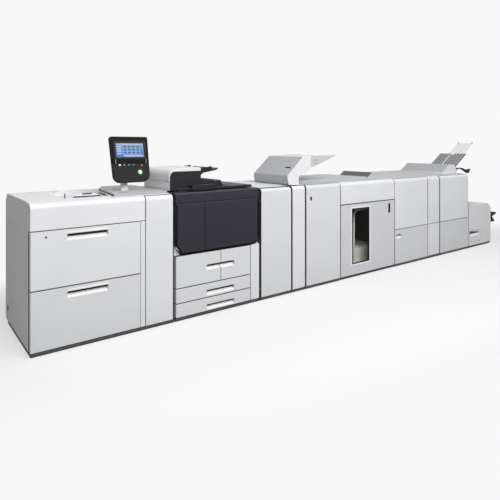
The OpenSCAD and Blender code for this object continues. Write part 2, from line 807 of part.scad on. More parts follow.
module platen_glass() color([0.6, 0.7, 0.75, 0.4])
    block(printer_x + glass_x0 + seat_gap, glass_y0 + seat_gap, scan_top - glass_t,
          printer_x + glass_x0 + glass_w - seat_gap, glass_y0 + glass_d - seat_gap, scan_top);

// Document feeder: base plate, housing, output hood, lift handle and lugs
plate_gap = 6;
plate_t = 20;
plate_x1 = 790;
plate_y0 = 56;
plate_y1 = 600;
df_x1 = 296;
df_y0 = 112;
df_top = 1145;
df_corner = 44;
hood_share = [[0, 0.1], [0.42, 0.62], [0.5, 0.5], [0.68, 0.58], [0.75, 0.12], [1, 0]];
hood_l = 306;
hood_h = 90;
lift_x0 = 172;
lift_x1 = 404;
lift_h = 22;
lift_y = 40;
plate_z0 = scan_top + plate_gap;
plate_z1 = plate_z0 + plate_t;
df_x0 = printer_x + reveal * 2;
df_xe = printer_x + df_x1;

module document_feeder() color(black) {
    difference() {
        union() {
            slab_z(plate_z0, plate_t, [[df_x0, df_y0 + lift_y], [printer_x + lift_x0, plate_y0],
                [printer_x + plate_x1, plate_y0], [printer_x + plate_x1, plate_y1],
                [df_x0, plate_y1]]);
            slab_y(df_y0, plate_y1 - df_y0, concat([[df_xe, plate_z0], [df_xe, df_top]],
                arc(df_x0 + df_corner, df_top - df_corner, df_corner, 90, 180),
                [[df_x0, plate_z0]]));
            slab_y(df_y0 + shell_t, plate_y1 - df_y0 - shell_t,
                [for (p = hood_share) [df_xe - over + p[0] * hood_l, plate_z1 - over + p[1] * hood_h]]);
            block(printer_x + lift_x0, lift_y, plate_z0, printer_x + lift_x1, df_y0 + over,
                  plate_z0 + plate_t + lift_h);
        }
        // Slot that the sheets enter under the cover
        block(df_xe - shell_t * 2, tray_y0, dt_z - dt_t / 2, df_xe + over, tray_y1,
              dt_z - dt_t / 2 + feed_slot_h);
    }
    for (s = [0, 1]) {
        ex = printer_x + ear_x + s * ear_spacing;
        for (lx = [ex - ear_w - ear_gap, ex + ear_w + ear_gap]) {
            block(lx, plate_y1 - over, plate_z0 + plate_gap / 2, lx + ear_w, ear_y, ear_z + ear_r);
            rod_x(lx, ear_y, ear_z, ear_w, ear_r);
        }
        rod_x(ex - ear_w, ear_y, ear_z, ear_w * 3, ear_pin_r);
    }
    // Ears of the document tray
    for (y = [tray_y0 - ear_w - ear_gap, tray_y1 + ear_gap])
        difference() {
            slab_y(y, ear_w, [[df_xe - over, dt_z - ear_r * 2], [dt_x + ear_r, dt_z - ear_r / 2],
                [dt_x + ear_r, dt_z + ear_r / 2], [df_xe - over, dt_z + ear_r]]);
            rod_y(dt_x, y - over, dt_z, ear_w + over * 2, dt_pin_r + pin_gap);
        }
    // Ears of the cover's hinge at the left
    for (y = [df_y0 + shell_t * 2, plate_y1 - shell_t * 4])
        difference() {
            slab_y(y, ear_w, concat([[df_x0 + over, cv_z - ear_r]],
                arc(cv_x, cv_z, cv_ear, 270, 90), [[df_x0 + over, cv_z + cv_ear]]));
            rod_y(cv_x, y - over, cv_z, ear_w + over * 2, cv_pin_r + pin_gap);
        }
}

// White cover over the housing, hinged along its lower left edge
cover_t = 20;
cv_skin = 6;
cv_gap = 1;
cv_ear = 4.5;
cv_pin_r = 2;
cv_x = df_x0 - cv_gap - cv_skin / 2;
cv_z = 1072;
cv_top = df_top + cover_t + 12;
cv_y0 = df_y0 - cv_gap * 4;
cv_y1 = plate_y1 + cv_gap * 4;
cv_x1 = df_xe - cv_gap * 2;
cv_rise = 12;

module document_feeder_cover() color(white) {
    xo = df_x0 - cv_gap - cv_skin;
    inner_top = df_top + cv_gap;
    difference() {
        slab_y(cv_y0, cv_y1 - cv_y0, concat(
            arc(cv_x, cv_z, cv_skin / 2, 360, 180),
            arc(xo + df_corner + cv_skin, cv_top - cv_rise - df_corner - cv_skin,
                df_corner + cv_skin, 180, 90),
            [[cv_x1 - cover_t, cv_top], [cv_x1, cv_top - cv_skin], [cv_x1, inner_top]],
            arc(xo + cv_skin + df_corner, inner_top - df_corner, df_corner, 90, 180)));
        for (y = [df_y0 + shell_t * 2, plate_y1 - shell_t * 4])
            block(xo - over, y - ear_gap, cv_z - cv_skin, xo + cv_skin + over,
                  y + ear_w + ear_gap, cv_z + ear_r + ear_gap);
    }
    for (y = [df_y0 + shell_t * 2, plate_y1 - shell_t * 4])
        rod_y(cv_x, y - pin_bite / 2, cv_z, ear_w + pin_bite, cv_pin_r);
}

// Document tray on its hinge, with two sliding guides
tray_y0 = 136;
tray_y1 = 560;
dt_gap = 14;
dt_x = df_xe + dt_gap;
dt_z = 1128;
dt_pin_r = 5;
dt_l = 176;
dt_slope = 9;
dt_t = 12;
dt_lip = 10;

module tray_frame()
    translate([dt_x, 0, dt_z]) rotate([0, -dt_slope, 0]) children();

module document_tray() color(black) {
    tray_frame() slab_y(tray_y0, tray_y1 - tray_y0, [[-dt_t / 2, -dt_t / 2],
        [dt_l - dt_lip * 2, -dt_t / 2], [dt_l, 0], [dt_l, dt_t], [dt_l - dt_lip, dt_t / 2],
        [-dt_t / 2, dt_t / 2]]);
    rod_y(dt_x, tray_y0 - ear_w, dt_z, tray_y1 - tray_y0 + ear_w * 2, dt_pin_r);
}

dg_l = 110;
dg_t = 5;
dg_h = 26;
dg_in = 30;
dg_foot = 22;
dg_x = 24;

module document_guide(y, dir) color(mid_grey)
    tray_frame() translate([dg_x, 0, dt_t / 2 + seat_gap]) {
        block(0, y, 0, dg_l, y + dg_t, dg_h);
        block(0, dir > 0 ? y : y - dg_foot + dg_t, 0, dg_l,
              dir > 0 ? y + dg_foot : y + dg_t, dg_t / 2);
    }
module document_front_guide() document_guide(tray_y0 + dg_in, 1);
module document_rear_guide() document_guide(tray_y1 - dg_in, -1);

// Decurler: cabinet with a shallow bay and a door whose top corner is rounded
shallow_d = 120;
knob_r = 22;
knob_t = 26;
plate_inset = 40;
inner_plate_t = 12;
corner_cut_w = 30;
corner_cut_h = 74;

// Inner plate, knob and rollers seen when a module's door is open
module inner_works(x0, x1, z0, z1) {
    y1 = front_y + shallow_d;
    block(x0 + plate_inset, y1 - inner_plate_t, z0 + plate_inset, x1 - plate_inset, y1 + over,
          z1 - plate_inset);
    for (s = roller_zs_share)
        rod_y((x0 + x1) / 2, y1 - roller_len, z0 + (z1 - z0) * s, roller_len + over, roller_r);
    rod_y((x0 + x1) / 2, y1 - roller_len - knob_t, z0 + (z1 - z0) * roller_zs_share[1],
          knob_t + over, knob_r);
}

// Closed module: block with a shallow bay from z0 to z1
module plain_cabinet(x, w, rise) {
    difference() {
        cabinet_block(x, w, rise);
        bay(x + wall, x + w - wall, wall, split_z - wall / 2, shallow_d);
        bay(x + wall, x + w - wall, split_z + wall / 2, nose_z - nose_r, shallow_d);
    }
    inner_works(x + wall, x + w - wall, split_z + wall / 2, nose_z - nose_r);
}

module decurler_corner()
    slab_y(-over, line_d + over * 2, concat(
        [[decurler_x + decurler_w + over, top_z + over],
         [decurler_x + decurler_w - corner_cut_w, top_z + over]],
        [for (i = [0 : arc_n]) let (a = 90 * i / arc_n)
            [decurler_x + decurler_w - corner_cut_w + (corner_cut_w + over) * sin(a),
             top_z + over - corner_cut_h * (1 - cos(a))]]));

module decurler_cabinet() color(white) {
    difference() {
        cabinet_block(decurler_x, decurler_w);
        bay(decurler_x + wall, decurler_x + decurler_w - wall - corner_cut_w, wall,
            nose_z - nose_r, shallow_d);
        decurler_corner();
    }
    inner_works(decurler_x + wall, decurler_x + decurler_w - wall, split_z, nose_z - nose_r);
    dock(decurler_x, wide_gap);
    hinge_arms(decurler_x + reveal + hinge_in, 0, nose_z);
}

groove_h = 3;
module decurler_door() color(white) difference() {
    hinged_door(decurler_x + reveal, decurler_w - reveal * 2, 0, nose_z, nose_r, -1);
    decurler_corner();
    block(decurler_x, -over, split_z, decurler_x + decurler_w, groove_h / 2, split_z + groove_h);
}

// Inserter: narrow cabinet, door, head and sloping tray
module inserter_cabinet() color(white) {
    plain_cabinet(inserter_x, inserter_w, 0);
    dock(inserter_x, narrow_gap);
    hinge_arms(inserter_x + reveal + hinge_in, 0, nose_z);
}

module inserter_door() color(white)
    hinged_door(inserter_x + reveal, inserter_w - reveal * 2, 0, nose_z, nose_r, -1);

head_y0 = 22;
head_y1 = 540;
head_in = -30;
head_lean = 160;
head_low = 44;
head_mid = 92;
head_top = 266;
head_flat = 108;
head_peak = 11;
head_right = 268;
head_lip = 106;
head_under = 146;
head_slot_w = 70;
head_slot_h = 12;
head_slot_y = 110;
head_slot_share = 0.42;
tray_tip = 612;
tray_plate_t = 8;
cheek_t = 8;
cheek_low = 74;
tray_floor_drop = 48;
hx0 = inserter_x + head_in;

module inserter_head() color(white) difference() {
    slab_y(head_y0, head_y1 - head_y0, [
        [inserter_x + seat_gap, top_z - over], [inserter_x + seat_gap, top_z + seat_gap],
        [hx0 - head_in / 4, top_z + seat_gap * 10],
        [hx0 - head_peak, top_z + head_low], [hx0 - head_peak, top_z + head_mid],
        [inserter_x + head_lean, top_z + head_top],
        [inserter_x + head_right, top_z + head_top + head_peak],
        [inserter_x + head_right, top_z + head_under],
        [inserter_x + head_lip, top_z + head_under / 2],
        [inserter_x + head_lip, top_z - over]]);
    block(inserter_x - wall, 0, 0, inserter_x + inserter_w, line_d, top_z);
    // Hand slot in the sloping left face
    translate([hx0 - head_peak + (head_lean - head_in) * head_slot_share, head_slot_y,
               top_z + head_mid + (head_top - head_mid) * head_slot_share])
        rotate([0, -atan2(head_top - head_mid, head_lean - head_in + head_peak), 0])
            translate([-head_slot_h / 2, 0, -head_slot_h])
                cube([head_slot_h, head_slot_w, head_slot_h * 2]);
}

module inserter_tray() color(light_grey) {
    x0 = inserter_x + head_right + seat_gap;
    x1 = inserter_x + tray_tip;
    zt = top_z + head_top + head_peak;
    cheek = [[x0, zt - head_low - cheek_low], [x0, zt], [x1, zt], [x1, zt - cheek_t],
             [x0 + (x1 - x0) * 0.3, zt - head_low - cheek_low * 0.6]];
    slab_y(head_y0, cheek_t, cheek);
    slab_y(head_y1 - cheek_t, cheek_t, cheek);
    slab_y(head_y0 + cheek_t - over, head_y1 - head_y0 - cheek_t * 2 + over * 2,
        [[x0, zt - head_low - cheek_low + tray_plate_t], [x0, zt - head_low - tray_floor_drop],
         [x1, zt - cheek_t + over], [x1, zt - cheek_t - over]]);
}

// Stacker: cabinet with a left bay and the cart's bay, open to the floor
door_gap = 6;
cart_bay_x0 = stacker_x + left_door_w + door_gap * 2 + wall;
cart_bay_x1 = stacker_x + stacker_w - wall;
cart_bay_d = 680;
stack_top_side = 314;
stack_top_w = stacker_w - wall * 2 - stack_top_side;
stack_top_h = 26;
stack_top_r = 24;
hump_w = 150;
hump_lean = 92;
hump_h = 72;
hump_y1 = 560;

module stacker_cabinet() color(white) {
    difference() {
        union() {
            cabinet_block(stacker_x, stacker_w);
            slab_x(stacker_x + left_door_w + door_gap * 2, stacker_w - left_door_w - door_gap * 2
                - reveal, door_outline(cart_door_z + reveal, nose_z, front_y + over, nose_r));
        }
        bay(stacker_x + wall, stacker_x + left_door_w - wall, wall, nose_z - nose_r, shallow_d);
        bay(cart_bay_x0, cart_bay_x1, -over, cart_door_z - wall, cart_bay_d);
        back_grille(stacker_x + stacker_w / 4);
    }
    inner_works(stacker_x + wall, stacker_x + left_door_w - wall, wall, nose_z - nose_r);
    dock(stacker_x, narrow_gap);
    hinge_arms(stacker_x + left_door_w - hinge_in, 0, nose_z);
    hinge_arms(cart_door_x + hinge_in, 0, cart_door_z - reveal);
}

module stacker_top_cover() color(light_grey) {
    x0 = stacker_x + wall * 2;
    x1 = x0 + stack_top_w;
    slab_y(crease_y + over, line_d - back_cut_y - crease_y - over * 2, concat(
        [[x1, top_z + seat_gap], [x1, top_z + stack_top_h]],
        arc(x0 + stack_top_r, top_z + stack_top_h - stack_top_r, stack_top_r, 90, 180),
        [[x0, top_z + seat_gap]]));
    slab_y(crease_y + over, hump_y1 - crease_y, [[x1 - over, top_z + seat_gap],
        [x1 - over, top_z + stack_top_h / 2], [x1 + hump_lean, top_z + hump_h],
        [x1 + hump_w, top_z + hump_h - wall / 2], [x1 + hump_w + wall, top_z + seat_gap]]);
}

latch_r = 9;
latch_h = 26;
latch_x = 66;
latch_z = 836;
latch_d = 3.5;
module stacker_left_door() color(white) difference() {
    hinged_door(stacker_x + reveal, left_door_w - reveal, 0, nose_z, nose_r, 1);
    for (z = [0, latch_h / 2])
        rod_y(stacker_x + latch_x, -over, latch_z + z, latch_d, latch_r);
}

rebate = 10;
glass_pane_t = 5;
pull_x = 102;
pull_w = 20;
pull_h = 84;
pull_z = 614;
cart_door_x = stacker_x + left_door_w + door_gap * 2;
cart_door_w = stacker_w - left_door_w - door_gap * 2 - reveal;
win_x = stacker_x + window_x;
pull_d = 16;
pull_x0 = cart_door_x + cart_door_w - pull_x;

module cart_door() color(white) difference() {
    union() {
        hinged_door(cart_door_x, cart_door_w, 0, cart_door_z - reveal, edge_r, -1);
        pocket_wall(pull_x0, pull_x0 + pull_w, pull_z, pull_z + pull_h, pull_d);
    }
    slab_y(-over, door_t, round_outline(win_x, window_z, win_x + window_w,
        window_z + window_h, edge_r));
    block(win_x - rebate, skin / 2, window_z - rebate, win_x + window_w + rebate,
          door_t + over, window_z + window_h + rebate);
    block(pull_x0, -over, pull_z, pull_x0 + pull_w, pull_d, pull_z + pull_h);
}

module cart_window() color([0.3, 0.33, 0.36, 0.5])
    block(win_x - rebate + seat_gap, skin / 2, window_z - rebate + seat_gap,
          win_x + window_w + rebate - seat_gap, skin / 2 + glass_pane_t,
          window_z + window_h + rebate - seat_gap);

// Stacking cart: base, tub, tube handle, axles and wheels
cart_side = 126;
cart_w = 400;
cart_y0 = 118;
cart_l = 540;
cart_base_z = 46;
cart_base_t = 24;
tub_in = 42;
tub_h = 160;
tub_r = 70;
tub_y0 = 12;
handle_r = 13;
handle_in = 24;
handle_top = 650;
handle_bend = 70;
wheel_r = 34;
wheel_w = 24;
axle_r = 7;
axle_in = 90;
fork_t = 8;
fork_gap = 1;
cx0 = cart_bay_x1 - cart_side - cart_w;
cx1 = cx0 + cart_w;
axle_z = wheel_r - floor_gap;

module stacker_cart() color(mid_grey) {
    slab_z(cart_base_z, cart_base_t, round_outline(cx0, cart_y0, cx1, cart_y0 + cart_l, wall));
    slab_z(cart_base_z + cart_base_t - over, tub_h + over, round_outline(cx0 + tub_in,
        cart_y0 + tub_y0, cx1 - tub_in, cart_y0 + cart_l - tub_y0, tub_r));
    // Tube handle: two legs, two bends and a crossbar
    hz = cart_base_z + cart_base_t - over;
    hy = cart_y0 + handle_in + handle_r;
    for (s = [0, 1]) {
        lx = s == 0 ? cx0 + handle_in : cx1 - handle_in;
        rod_z(lx, hy, hz, handle_top - handle_bend - hz, handle_r);
        translate([lx + (s == 0 ? handle_bend : -handle_bend), hy, handle_top - handle_bend])
            rotate([90, 0, 0])
                rotate([0, 0, s == 0 ? 90 : 0]) rotate_extrude(angle = 90, $fn = fine)
                    translate([handle_bend, 0]) circle(r = handle_r, $fn = coarse);
    }
    rod_x(cx0 + handle_in + handle_bend, hy, handle_top,
          cart_w - handle_in * 2 - handle_bend * 2, handle_r);
    for (y = [cart_y0 + axle_in, cart_y0 + cart_l - axle_in], x = [cx0 + tub_in, cx1 - tub_in])
        for (dx = [-wheel_w / 2 - fork_gap - fork_t, wheel_w / 2 + fork_gap])
            difference() {
                block(x + dx, y - fork_t * 1.5, axle_z - fork_t * 1.5, x + dx + fork_t,
                      y + fork_t * 1.5, cart_base_z + over);
                rod_x(x + dx - over, y, axle_z, fork_t + over * 2, axle_r + pin_gap);
            }
}

module wheel_pair(y) color(black)
    for (x = [cx0 + tub_in, cx1 - tub_in]) {
        rod_x(x - wheel_w / 2, y, axle_z, wheel_w, wheel_r);
        rod_x(x - wheel_w / 2 - fork_gap - fork_t, y, axle_z,
              wheel_w + fork_gap * 2 + fork_t * 2, axle_r);
    }
module cart_front_wheels() wheel_pair(cart_y0 + axle_in);
module cart_rear_wheels() wheel_pair(cart_y0 + cart_l - axle_in);

platform_t = 14;
module stack_platform() color(steel)
    slab_z(cart_base_z + cart_base_t + tub_h + seat_gap, platform_t,
           round_outline(cx0 + tub_in, cart_y0 + tub_y0 + handle_r * 4, cx1 - tub_in,
                         cart_y0 + cart_l - tub_y0, tub_r));

// Finisher
finisher_pocket_x = 32;
finisher_pocket_w = 96;
finisher_pocket_z = 336;
module finisher_cabinet() color(white) {
    plain_cabinet(finisher_x, finisher_w, back_rise);
    dock(finisher_x, narrow_gap);
    hinge_arms(finisher_x + finisher_w - reveal - hinge_in, 0, split_z - reveal);
    hinge_arms(finisher_x + finisher_w - reveal - hinge_in, split_z, nose_z);
}
module finisher_upper_door() color(white)
    hinged_door(finisher_x + reveal, finisher_w - reveal * 2, split_z, nose_z, nose_r, 1);
module finisher_lower_door() color(white) {
    x0 = finisher_x + finisher_pocket_x;
    x1 = x0 + finisher_pocket_w;
    difference() {
        union() {
            hinged_door(finisher_x + reveal, finisher_w - reveal * 2, 0, split_z - reveal,
                        edge_r, 1);
            pocket_wall(x0, x1, finisher_pocket_z - recess_h, finisher_pocket_z, recess_d);
        }
        handle_recess(x0, x1, finisher_pocket_z);
    }
}

// Folder: closed module with fixed covers
module folder_cabinet() color(white) {
    cabinet_block(folder_x, folder_w, back_rise);
    dock(folder_x, narrow_gap);
    slab_x(folder_x + reveal, folder_w - reveal * 2,
           door_outline(reveal, split_z - reveal, front_y + over, edge_r));
    slab_x(folder_x + reveal, folder_w - reveal * 2,
           door_outline(split_z, nose_z, front_y + over, nose_r));
}

// Booklet maker with its output wedge
ridge_x = 300;
ridge_foot = 24;
ridge_lean = 160;
ridge_h = 126;
ridge_flat = 130;
ridge_right = 170;
ridge_back = 44;
ridge_y1 = line_d - ridge_back;
module booklet_cabinet() color(white) {
    plain_cabinet(booklet_x, booklet_w, back_rise);
    dock(booklet_x, narrow_gap);
    rx = booklet_x + ridge_x;
    difference() {
        slab_y(crease_y, ridge_y1 - crease_y - over, [[rx, top_z - over],
            [rx, top_z + ridge_foot], [rx + ridge_lean, top_z + ridge_h],
            [rx + ridge_lean + ridge_flat, top_z + ridge_h - wall / 2],
            [rx + ridge_lean + ridge_right, top_z + ridge_h / 2],
            [rx + ridge_lean + ridge_right + ridge_foot, top_z - over]]);
        out_frame() translate([-seat_gap, -seat_gap, -seat_gap])
            cube([out_l, out_w + seat_gap * 2, out_t + rib_h * 4]);
    }
    for (y = [arm_y0 - ear_t - ear_gap, arm_y0 + arm_w + ear_gap])
        difference() {
            slab_y(y, ear_t, concat([[arm_x - arm_back, arm_z + arm_hub_r / 2]],
                arc(arm_x, arm_z, arm_hub_r, 90, -90),
                [[arm_x - arm_back / 2, arm_z - arm_hub_r * 2],
                 [arm_x - arm_back, arm_z - arm_hub_r * 2]]));
            rod_y(arm_x, y - over, arm_z, ear_t + over * 2, arm_pin_r + pin_gap);
        }
    hinge_arms(booklet_x + booklet_w - reveal - hinge_in, 0, split_z - reveal);
    hinge_arms(booklet_x + booklet_w - reveal - hinge_in, split_z, nose_z);
}
module booklet_upper_door() color(white)
    hinged_door(booklet_x + reveal, booklet_w - reveal * 2, split_z, nose_z, nose_r, 1);
module booklet_lower_door() color(white)
    hinged_door(booklet_x + reveal, booklet_w - reveal * 2, 0, split_z - reveal, edge_r, 1);

// Output tray: ribbed plate that slopes up to the right, with a channel below
out_x = 566;
out_z = 46;
out_l = 398;
out_slope = 31.7;
out_w = 380;
out_t = 10;
out_y0 = 146;
rib_n = 9;
rib_t = 4;
rib_h = 5;
bite_w = 60;
bite_l = 34;
ext_w = 230;
ext_l = 412;
ext_t = 3;
ext_y = 30;
ext_gap = 0.5;
ext_x = 290;
ext_travel = 130;
channel_t = 4;
channel_x = 130;

module out_frame()
    translate([booklet_x + out_x, out_y0, top_z + out_z]) rotate([0, -out_slope, 0])
        children();

module output_tray() color(mid_grey) out_frame() difference() {
    union() {
        cube([out_l, out_w, out_t]);
        for (i = [0 : rib_n - 1])
            translate([out_l / 8, (out_w - rib_t) * i / (rib_n - 1), out_t - over])
                cube([out_l * 7 / 8, rib_t, rib_h + over]);
        block(channel_x, ext_y - channel_t, -ext_t - channel_t * 2, out_l,
              ext_y + ext_w + channel_t, over);
    }
    translate([out_l - bite_l, (out_w - bite_w) / 2, -channel_t * 3])
        cube([bite_l + over, bite_w, out_t + channel_t * 5]);
    block(channel_x - over, ext_y - ext_gap, -ext_t - ext_gap * 2, out_l + over,
          ext_y + ext_w + ext_gap, 0);
    block(channel_x - over, ext_y + channel_t * 2, -ext_t - channel_t * 3, out_l + over,
          ext_y + ext_w - channel_t * 2, 0);
}

module tray_extension() color(white) out_frame()
    translate([ext_x, ext_y, -ext_t - ext_gap]) linear_extrude(ext_t)
        polygon(round_outline(0, 0, ext_l, ext_w, wall));

// Swinging arm that holds the sheets down at the exit
arm_out = 2;
arm_x = booklet_x + ridge_x + ridge_lean + ridge_right + ridge_foot + arm_out;
arm_z = top_z + 42;
arm_back = 36;
arm_l = 385;
arm_w = 40;
arm_t = 6;
arm_y0 = 150;
arm_hub_r = 10;
arm_pin_r = 4;
arm_sweep_share = [[0, 0], [0.15, 0.07], [0.32, 0.075], [0.46, 0.055], [0.6, 0.01],
                   [0.78, -0.02], [1, 0.015], [0.86, -0.14], [0.74, -0.095],
                   [0.6, -0.035], [0.46, 0.015], [0.32, 0.038], [0.15, 0.04], [0, -0.02]];
module output_arm() color(black) {
    slab_y(arm_y0, arm_w, [for (p = arm_sweep_share) [arm_x + p[0] * arm_l, arm_z + p[1] * arm_l]]);
    rod_y(arm_x, arm_y0, arm_z, arm_w, arm_hub_r);
    rod_y(arm_x, arm_y0 - ear_t, arm_z, arm_w + ear_t * 2, arm_pin_r);
}

// Trimmer with its lid, waste bin and exit tray
trim_top_z = 545;
trim_high_z = 600;
trim_high_w = 70;
trim_dip_w = 190;
trim_shoulder_x = 80;
trim_shoulder_z = 80;
trim_step_z = 425;
trim_foot_r = 36;
trim_d = 760;
trim_split_z = 470;
lid_hinge_r = 6;
lid_y = trim_d + 14;
bin_x = 14;
bin_w = 320;
bin_z0 = 40;
bin_z1 = 200;
bin_d = 420;
bin_box_h = 84;
bin_grip_x = 40;
bin_grip_w = 240;
bin_grip_drop = 26;
exit_z = 282;
exit_w = 360;
exit_y0 = 8;
tx0 = trimmer_x;
tx1 = trimmer_x + trimmer_w;

module trimmer_cabinet() color(light_grey) {
    difference() {
        slab_y(0, trim_d, concat([[tx0, 0], [tx0, trim_split_z]], [[tx1, trim_split_z]],
            [[tx1, trim_foot_r], [tx1 - trim_foot_r, 0]]));
        block(tx0 + bin_x, -over, bin_z0, tx0 + bin_x + bin_w, bin_d, bin_z1);
        // Exit slot in the right face
        block(tx1 - shallow_d, exit_y0 + shell_t, exit_z + shell_t, tx1 + over,
              exit_y0 + exit_w - shell_t, trim_step_z - shell_t);
    }
    dock(trimmer_x, wide_gap, exit_z);
    lz = bin_z0 + box_lift / 2 - rail_gap;
    block(tx0 + bin_x - over, door_t, bin_z0 - over, tx0 + bin_x + ledge_in, bin_d, lz);
    block(tx0 + bin_x + bin_w - ledge_in, door_t, bin_z0 - over,
          tx0 + bin_x + bin_w + over, bin_d, lz);
    // Ears of the lid's hinge at the back
    for (x = [tx0 + trim_dip_w, tx1 - trim_dip_w])
        difference() {
            union() {
                block(x, trim_d - over, trim_split_z - wall * 2, x + ear_w, lid_y,
                      trim_split_z);
                rod_x(x, lid_y, trim_split_z, ear_w, lid_hinge_r * 2);
            }
            rod_x(x - over, lid_y, trim_split_z, ear_w + over * 2, lid_hinge_r + pin_gap);
        }
}

module trimmer_cover() color(light_grey) {
    difference() {
        slab_y(0, trim_d, [[tx0, trim_split_z + seat_gap], [tx0, trim_high_z],
            [tx0 + trim_high_w, trim_high_z - edge_r], [tx0 + trim_dip_w, trim_top_z],
            [tx1 - trim_shoulder_x, trim_top_z], [tx1 - trim_shoulder_x / 4, trim_top_z - wall * 2],
            [tx1, trim_split_z + seat_gap]]);
        block(tx0 + wall, wall, trim_split_z - over, tx1 - trim_shoulder_x, trim_d - wall,
              trim_top_z - shell_t);
    }
    for (x = [tx0 + trim_dip_w, tx1 - trim_dip_w]) {
        for (lx = [x - ear_w - ear_gap, x + ear_w + ear_gap]) {
            block(lx, trim_d - over, trim_split_z + seat_gap, lx + ear_w, lid_y,
                  trim_split_z + lid_hinge_r * 2);
            rod_x(lx, lid_y, trim_split_z, ear_w, lid_hinge_r * 2);
        }
        rod_x(x - ear_w, lid_y, trim_split_z, ear_w * 3, lid_hinge_r);
    }
}

module trim_waste_bin() color(white) {
    x0 = tx0 + bin_x + reveal;
    x1 = tx0 + bin_x + bin_w - reveal;
    difference() {
        block(x0, edge_r / 2, bin_z0 + reveal, x1, door_t, bin_z1 - reveal);
        handle_recess(x0 + bin_grip_x / 2, x0 + bin_grip_x / 2 + bin_grip_w,
                      bin_z1 - bin_grip_drop);
    }
    bz = bin_z0 + box_lift / 2;
    difference() {
        block(x0 + side_gap, door_t - over, bz, x1 - side_gap, bin_d - wall, bz + bin_box_h);
        block(x0 + side_gap + box_wall, door_t, bz + box_floor, x1 - side_gap - box_wall,
              bin_d - wall - box_wall, bz + bin_box_h + over);
    }
}

// Exit tray: guide plate above, catching floor below, between two cheeks
exit_top = 412;
exit_drop = 16;
exit_foot = 140;
exit_waist = 62;
exit_waist_z = 345;
module trimmer_exit_tray() color(black) {
    xt = tx1 + seat_gap;
    slab_y(exit_y0, exit_w, [[xt, exit_top - shell_t], [xt, exit_top],
        [tx1 + exit_reach, exit_top - exit_drop], [tx1 + exit_reach - exit_drop, exit_top - exit_drop * 2]]);
    slab_y(exit_y0, exit_w, [[xt, exit_z - shell_t], [xt, exit_z],
        [tx1 + exit_foot - edge_r, exit_z - edge_r], [tx1 + exit_foot, exit_z - shell_t]]);
    for (y = [exit_y0, exit_y0 + exit_w - shell_t])
        slab_y(y, shell_t, [[xt, exit_z - shell_t], [xt, exit_top],
            [tx1 + exit_reach, exit_top - exit_drop],
            [tx1 + exit_reach - exit_drop, exit_top - exit_drop * 2.4],
            [tx1 + exit_waist, exit_waist_z], [tx1 + exit_foot, exit_z - shell_t]]);
}

// Plinth bars on levelling feet, at the front and back of every module
plinth_in = 30;
plinth_y = 60;
plinth_h = 20;
plinth_t = 36;
foot_r = 17;
foot_in = 60;
skirt_y = 8;
skirt_in = 5;
skirt_gap = 3;

module plinth_bar(x, w, y) {
    block(x + plinth_in, y, -plinth_h, x + w - plinth_in, y + plinth_t, 0);
    for (fx = [x + foot_in, x + w - foot_in])
        rod_z(fx, y + plinth_t / 2, -floor_gap, floor_gap, foot_r);
}

module plinth(x, w, d) {
    plinth_bar(x, w, plinth_y);
    block(x + skirt_in, skirt_y, -plinth_h, x + w - skirt_in, plinth_y + over, -skirt_gap);
    plinth_bar(x, w, d - plinth_y - plinth_t);
}

module base_frames() color(black) {
    plinth(0, feeder_w + column_w, line_d);
    plinth(printer_x, printer_w, line_d);
    plinth(decurler_x, decurler_w, line_d);
    plinth(inserter_x, inserter_w, line_d);
    plinth(stacker_x, left_door_w, line_d);
    plinth_bar(stacker_x + left_door_w, stacker_w - left_door_w, line_d - plinth_y - plinth_t);
    plinth(finisher_x, finisher_w, line_d);
    plinth(folder_x, folder_w, line_d);
    plinth(booklet_x, booklet_w, line_d);
    plinth(trimmer_x, trimmer_w, trim_d);
}

place() feeder_cabinet();
place() feeder_top_cover();
place() feeder_upper_drawer();
place() feeder_lower_drawer();
place() bypass_front_guide();
place() bypass_rear_guide();
place() column_door();
place() screen_post();
place() screen_swivel();
place() control_panel();
place() touch_screen();
place() start_key();
place() stop_key();
place() menu_keys();
place() printer_cabinet();
place() left_front_door();
place() right_front_door();
place() drum_unit();
place() fuser_unit();
place() scanner_base();
place() platen_glass();
place() document_feeder();
place() document_feeder_cover();
place() document_tray();
place() document_front_guide();
place() document_rear_guide();
place() paper_tray_1();
place() paper_tray_2();
place() paper_tray_3();
place() paper_tray_4();
place() decurler_cabinet();
place() decurler_door();
place() inserter_cabinet();
place() inserter_door();
place() inserter_head();
place() inserter_tray();
place() stacker_cabinet();
place() stacker_top_cover();
place() stacker_left_door();
place() cart_door();
place() cart_window();
place() stacker_cart();
place() cart_front_wheels();
place() cart_rear_wheels();
place() stack_platform();
place() finisher_cabinet();
place() finisher_upper_door();
place() finisher_lower_door();
place() folder_cabinet();
place() booklet_cabinet();
place() booklet_upper_door();
place() booklet_lower_door();
place() output_tray();
place() tray_extension();
place() output_arm();
place() trimmer_cabinet();
place() trimmer_cover();
place() trim_waste_bin();
place() trimmer_exit_tray();
place() base_frames();
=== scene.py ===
"""Looks of the digital production printer line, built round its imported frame.

Sizes are in millimetres, measured from the feeder's front left corner on the
doors' lower edges, as in the part's source; at() turns them into the frame.
"""

import json
import logging
from collections.abc import Callable, Sequence
from dataclasses import dataclass, field, replace
from enum import Enum
from functools import cached_property
from math import atan2, pi, radians
from typing import Optional, Union

import bmesh
import bpy
from mathutils import Matrix, Vector

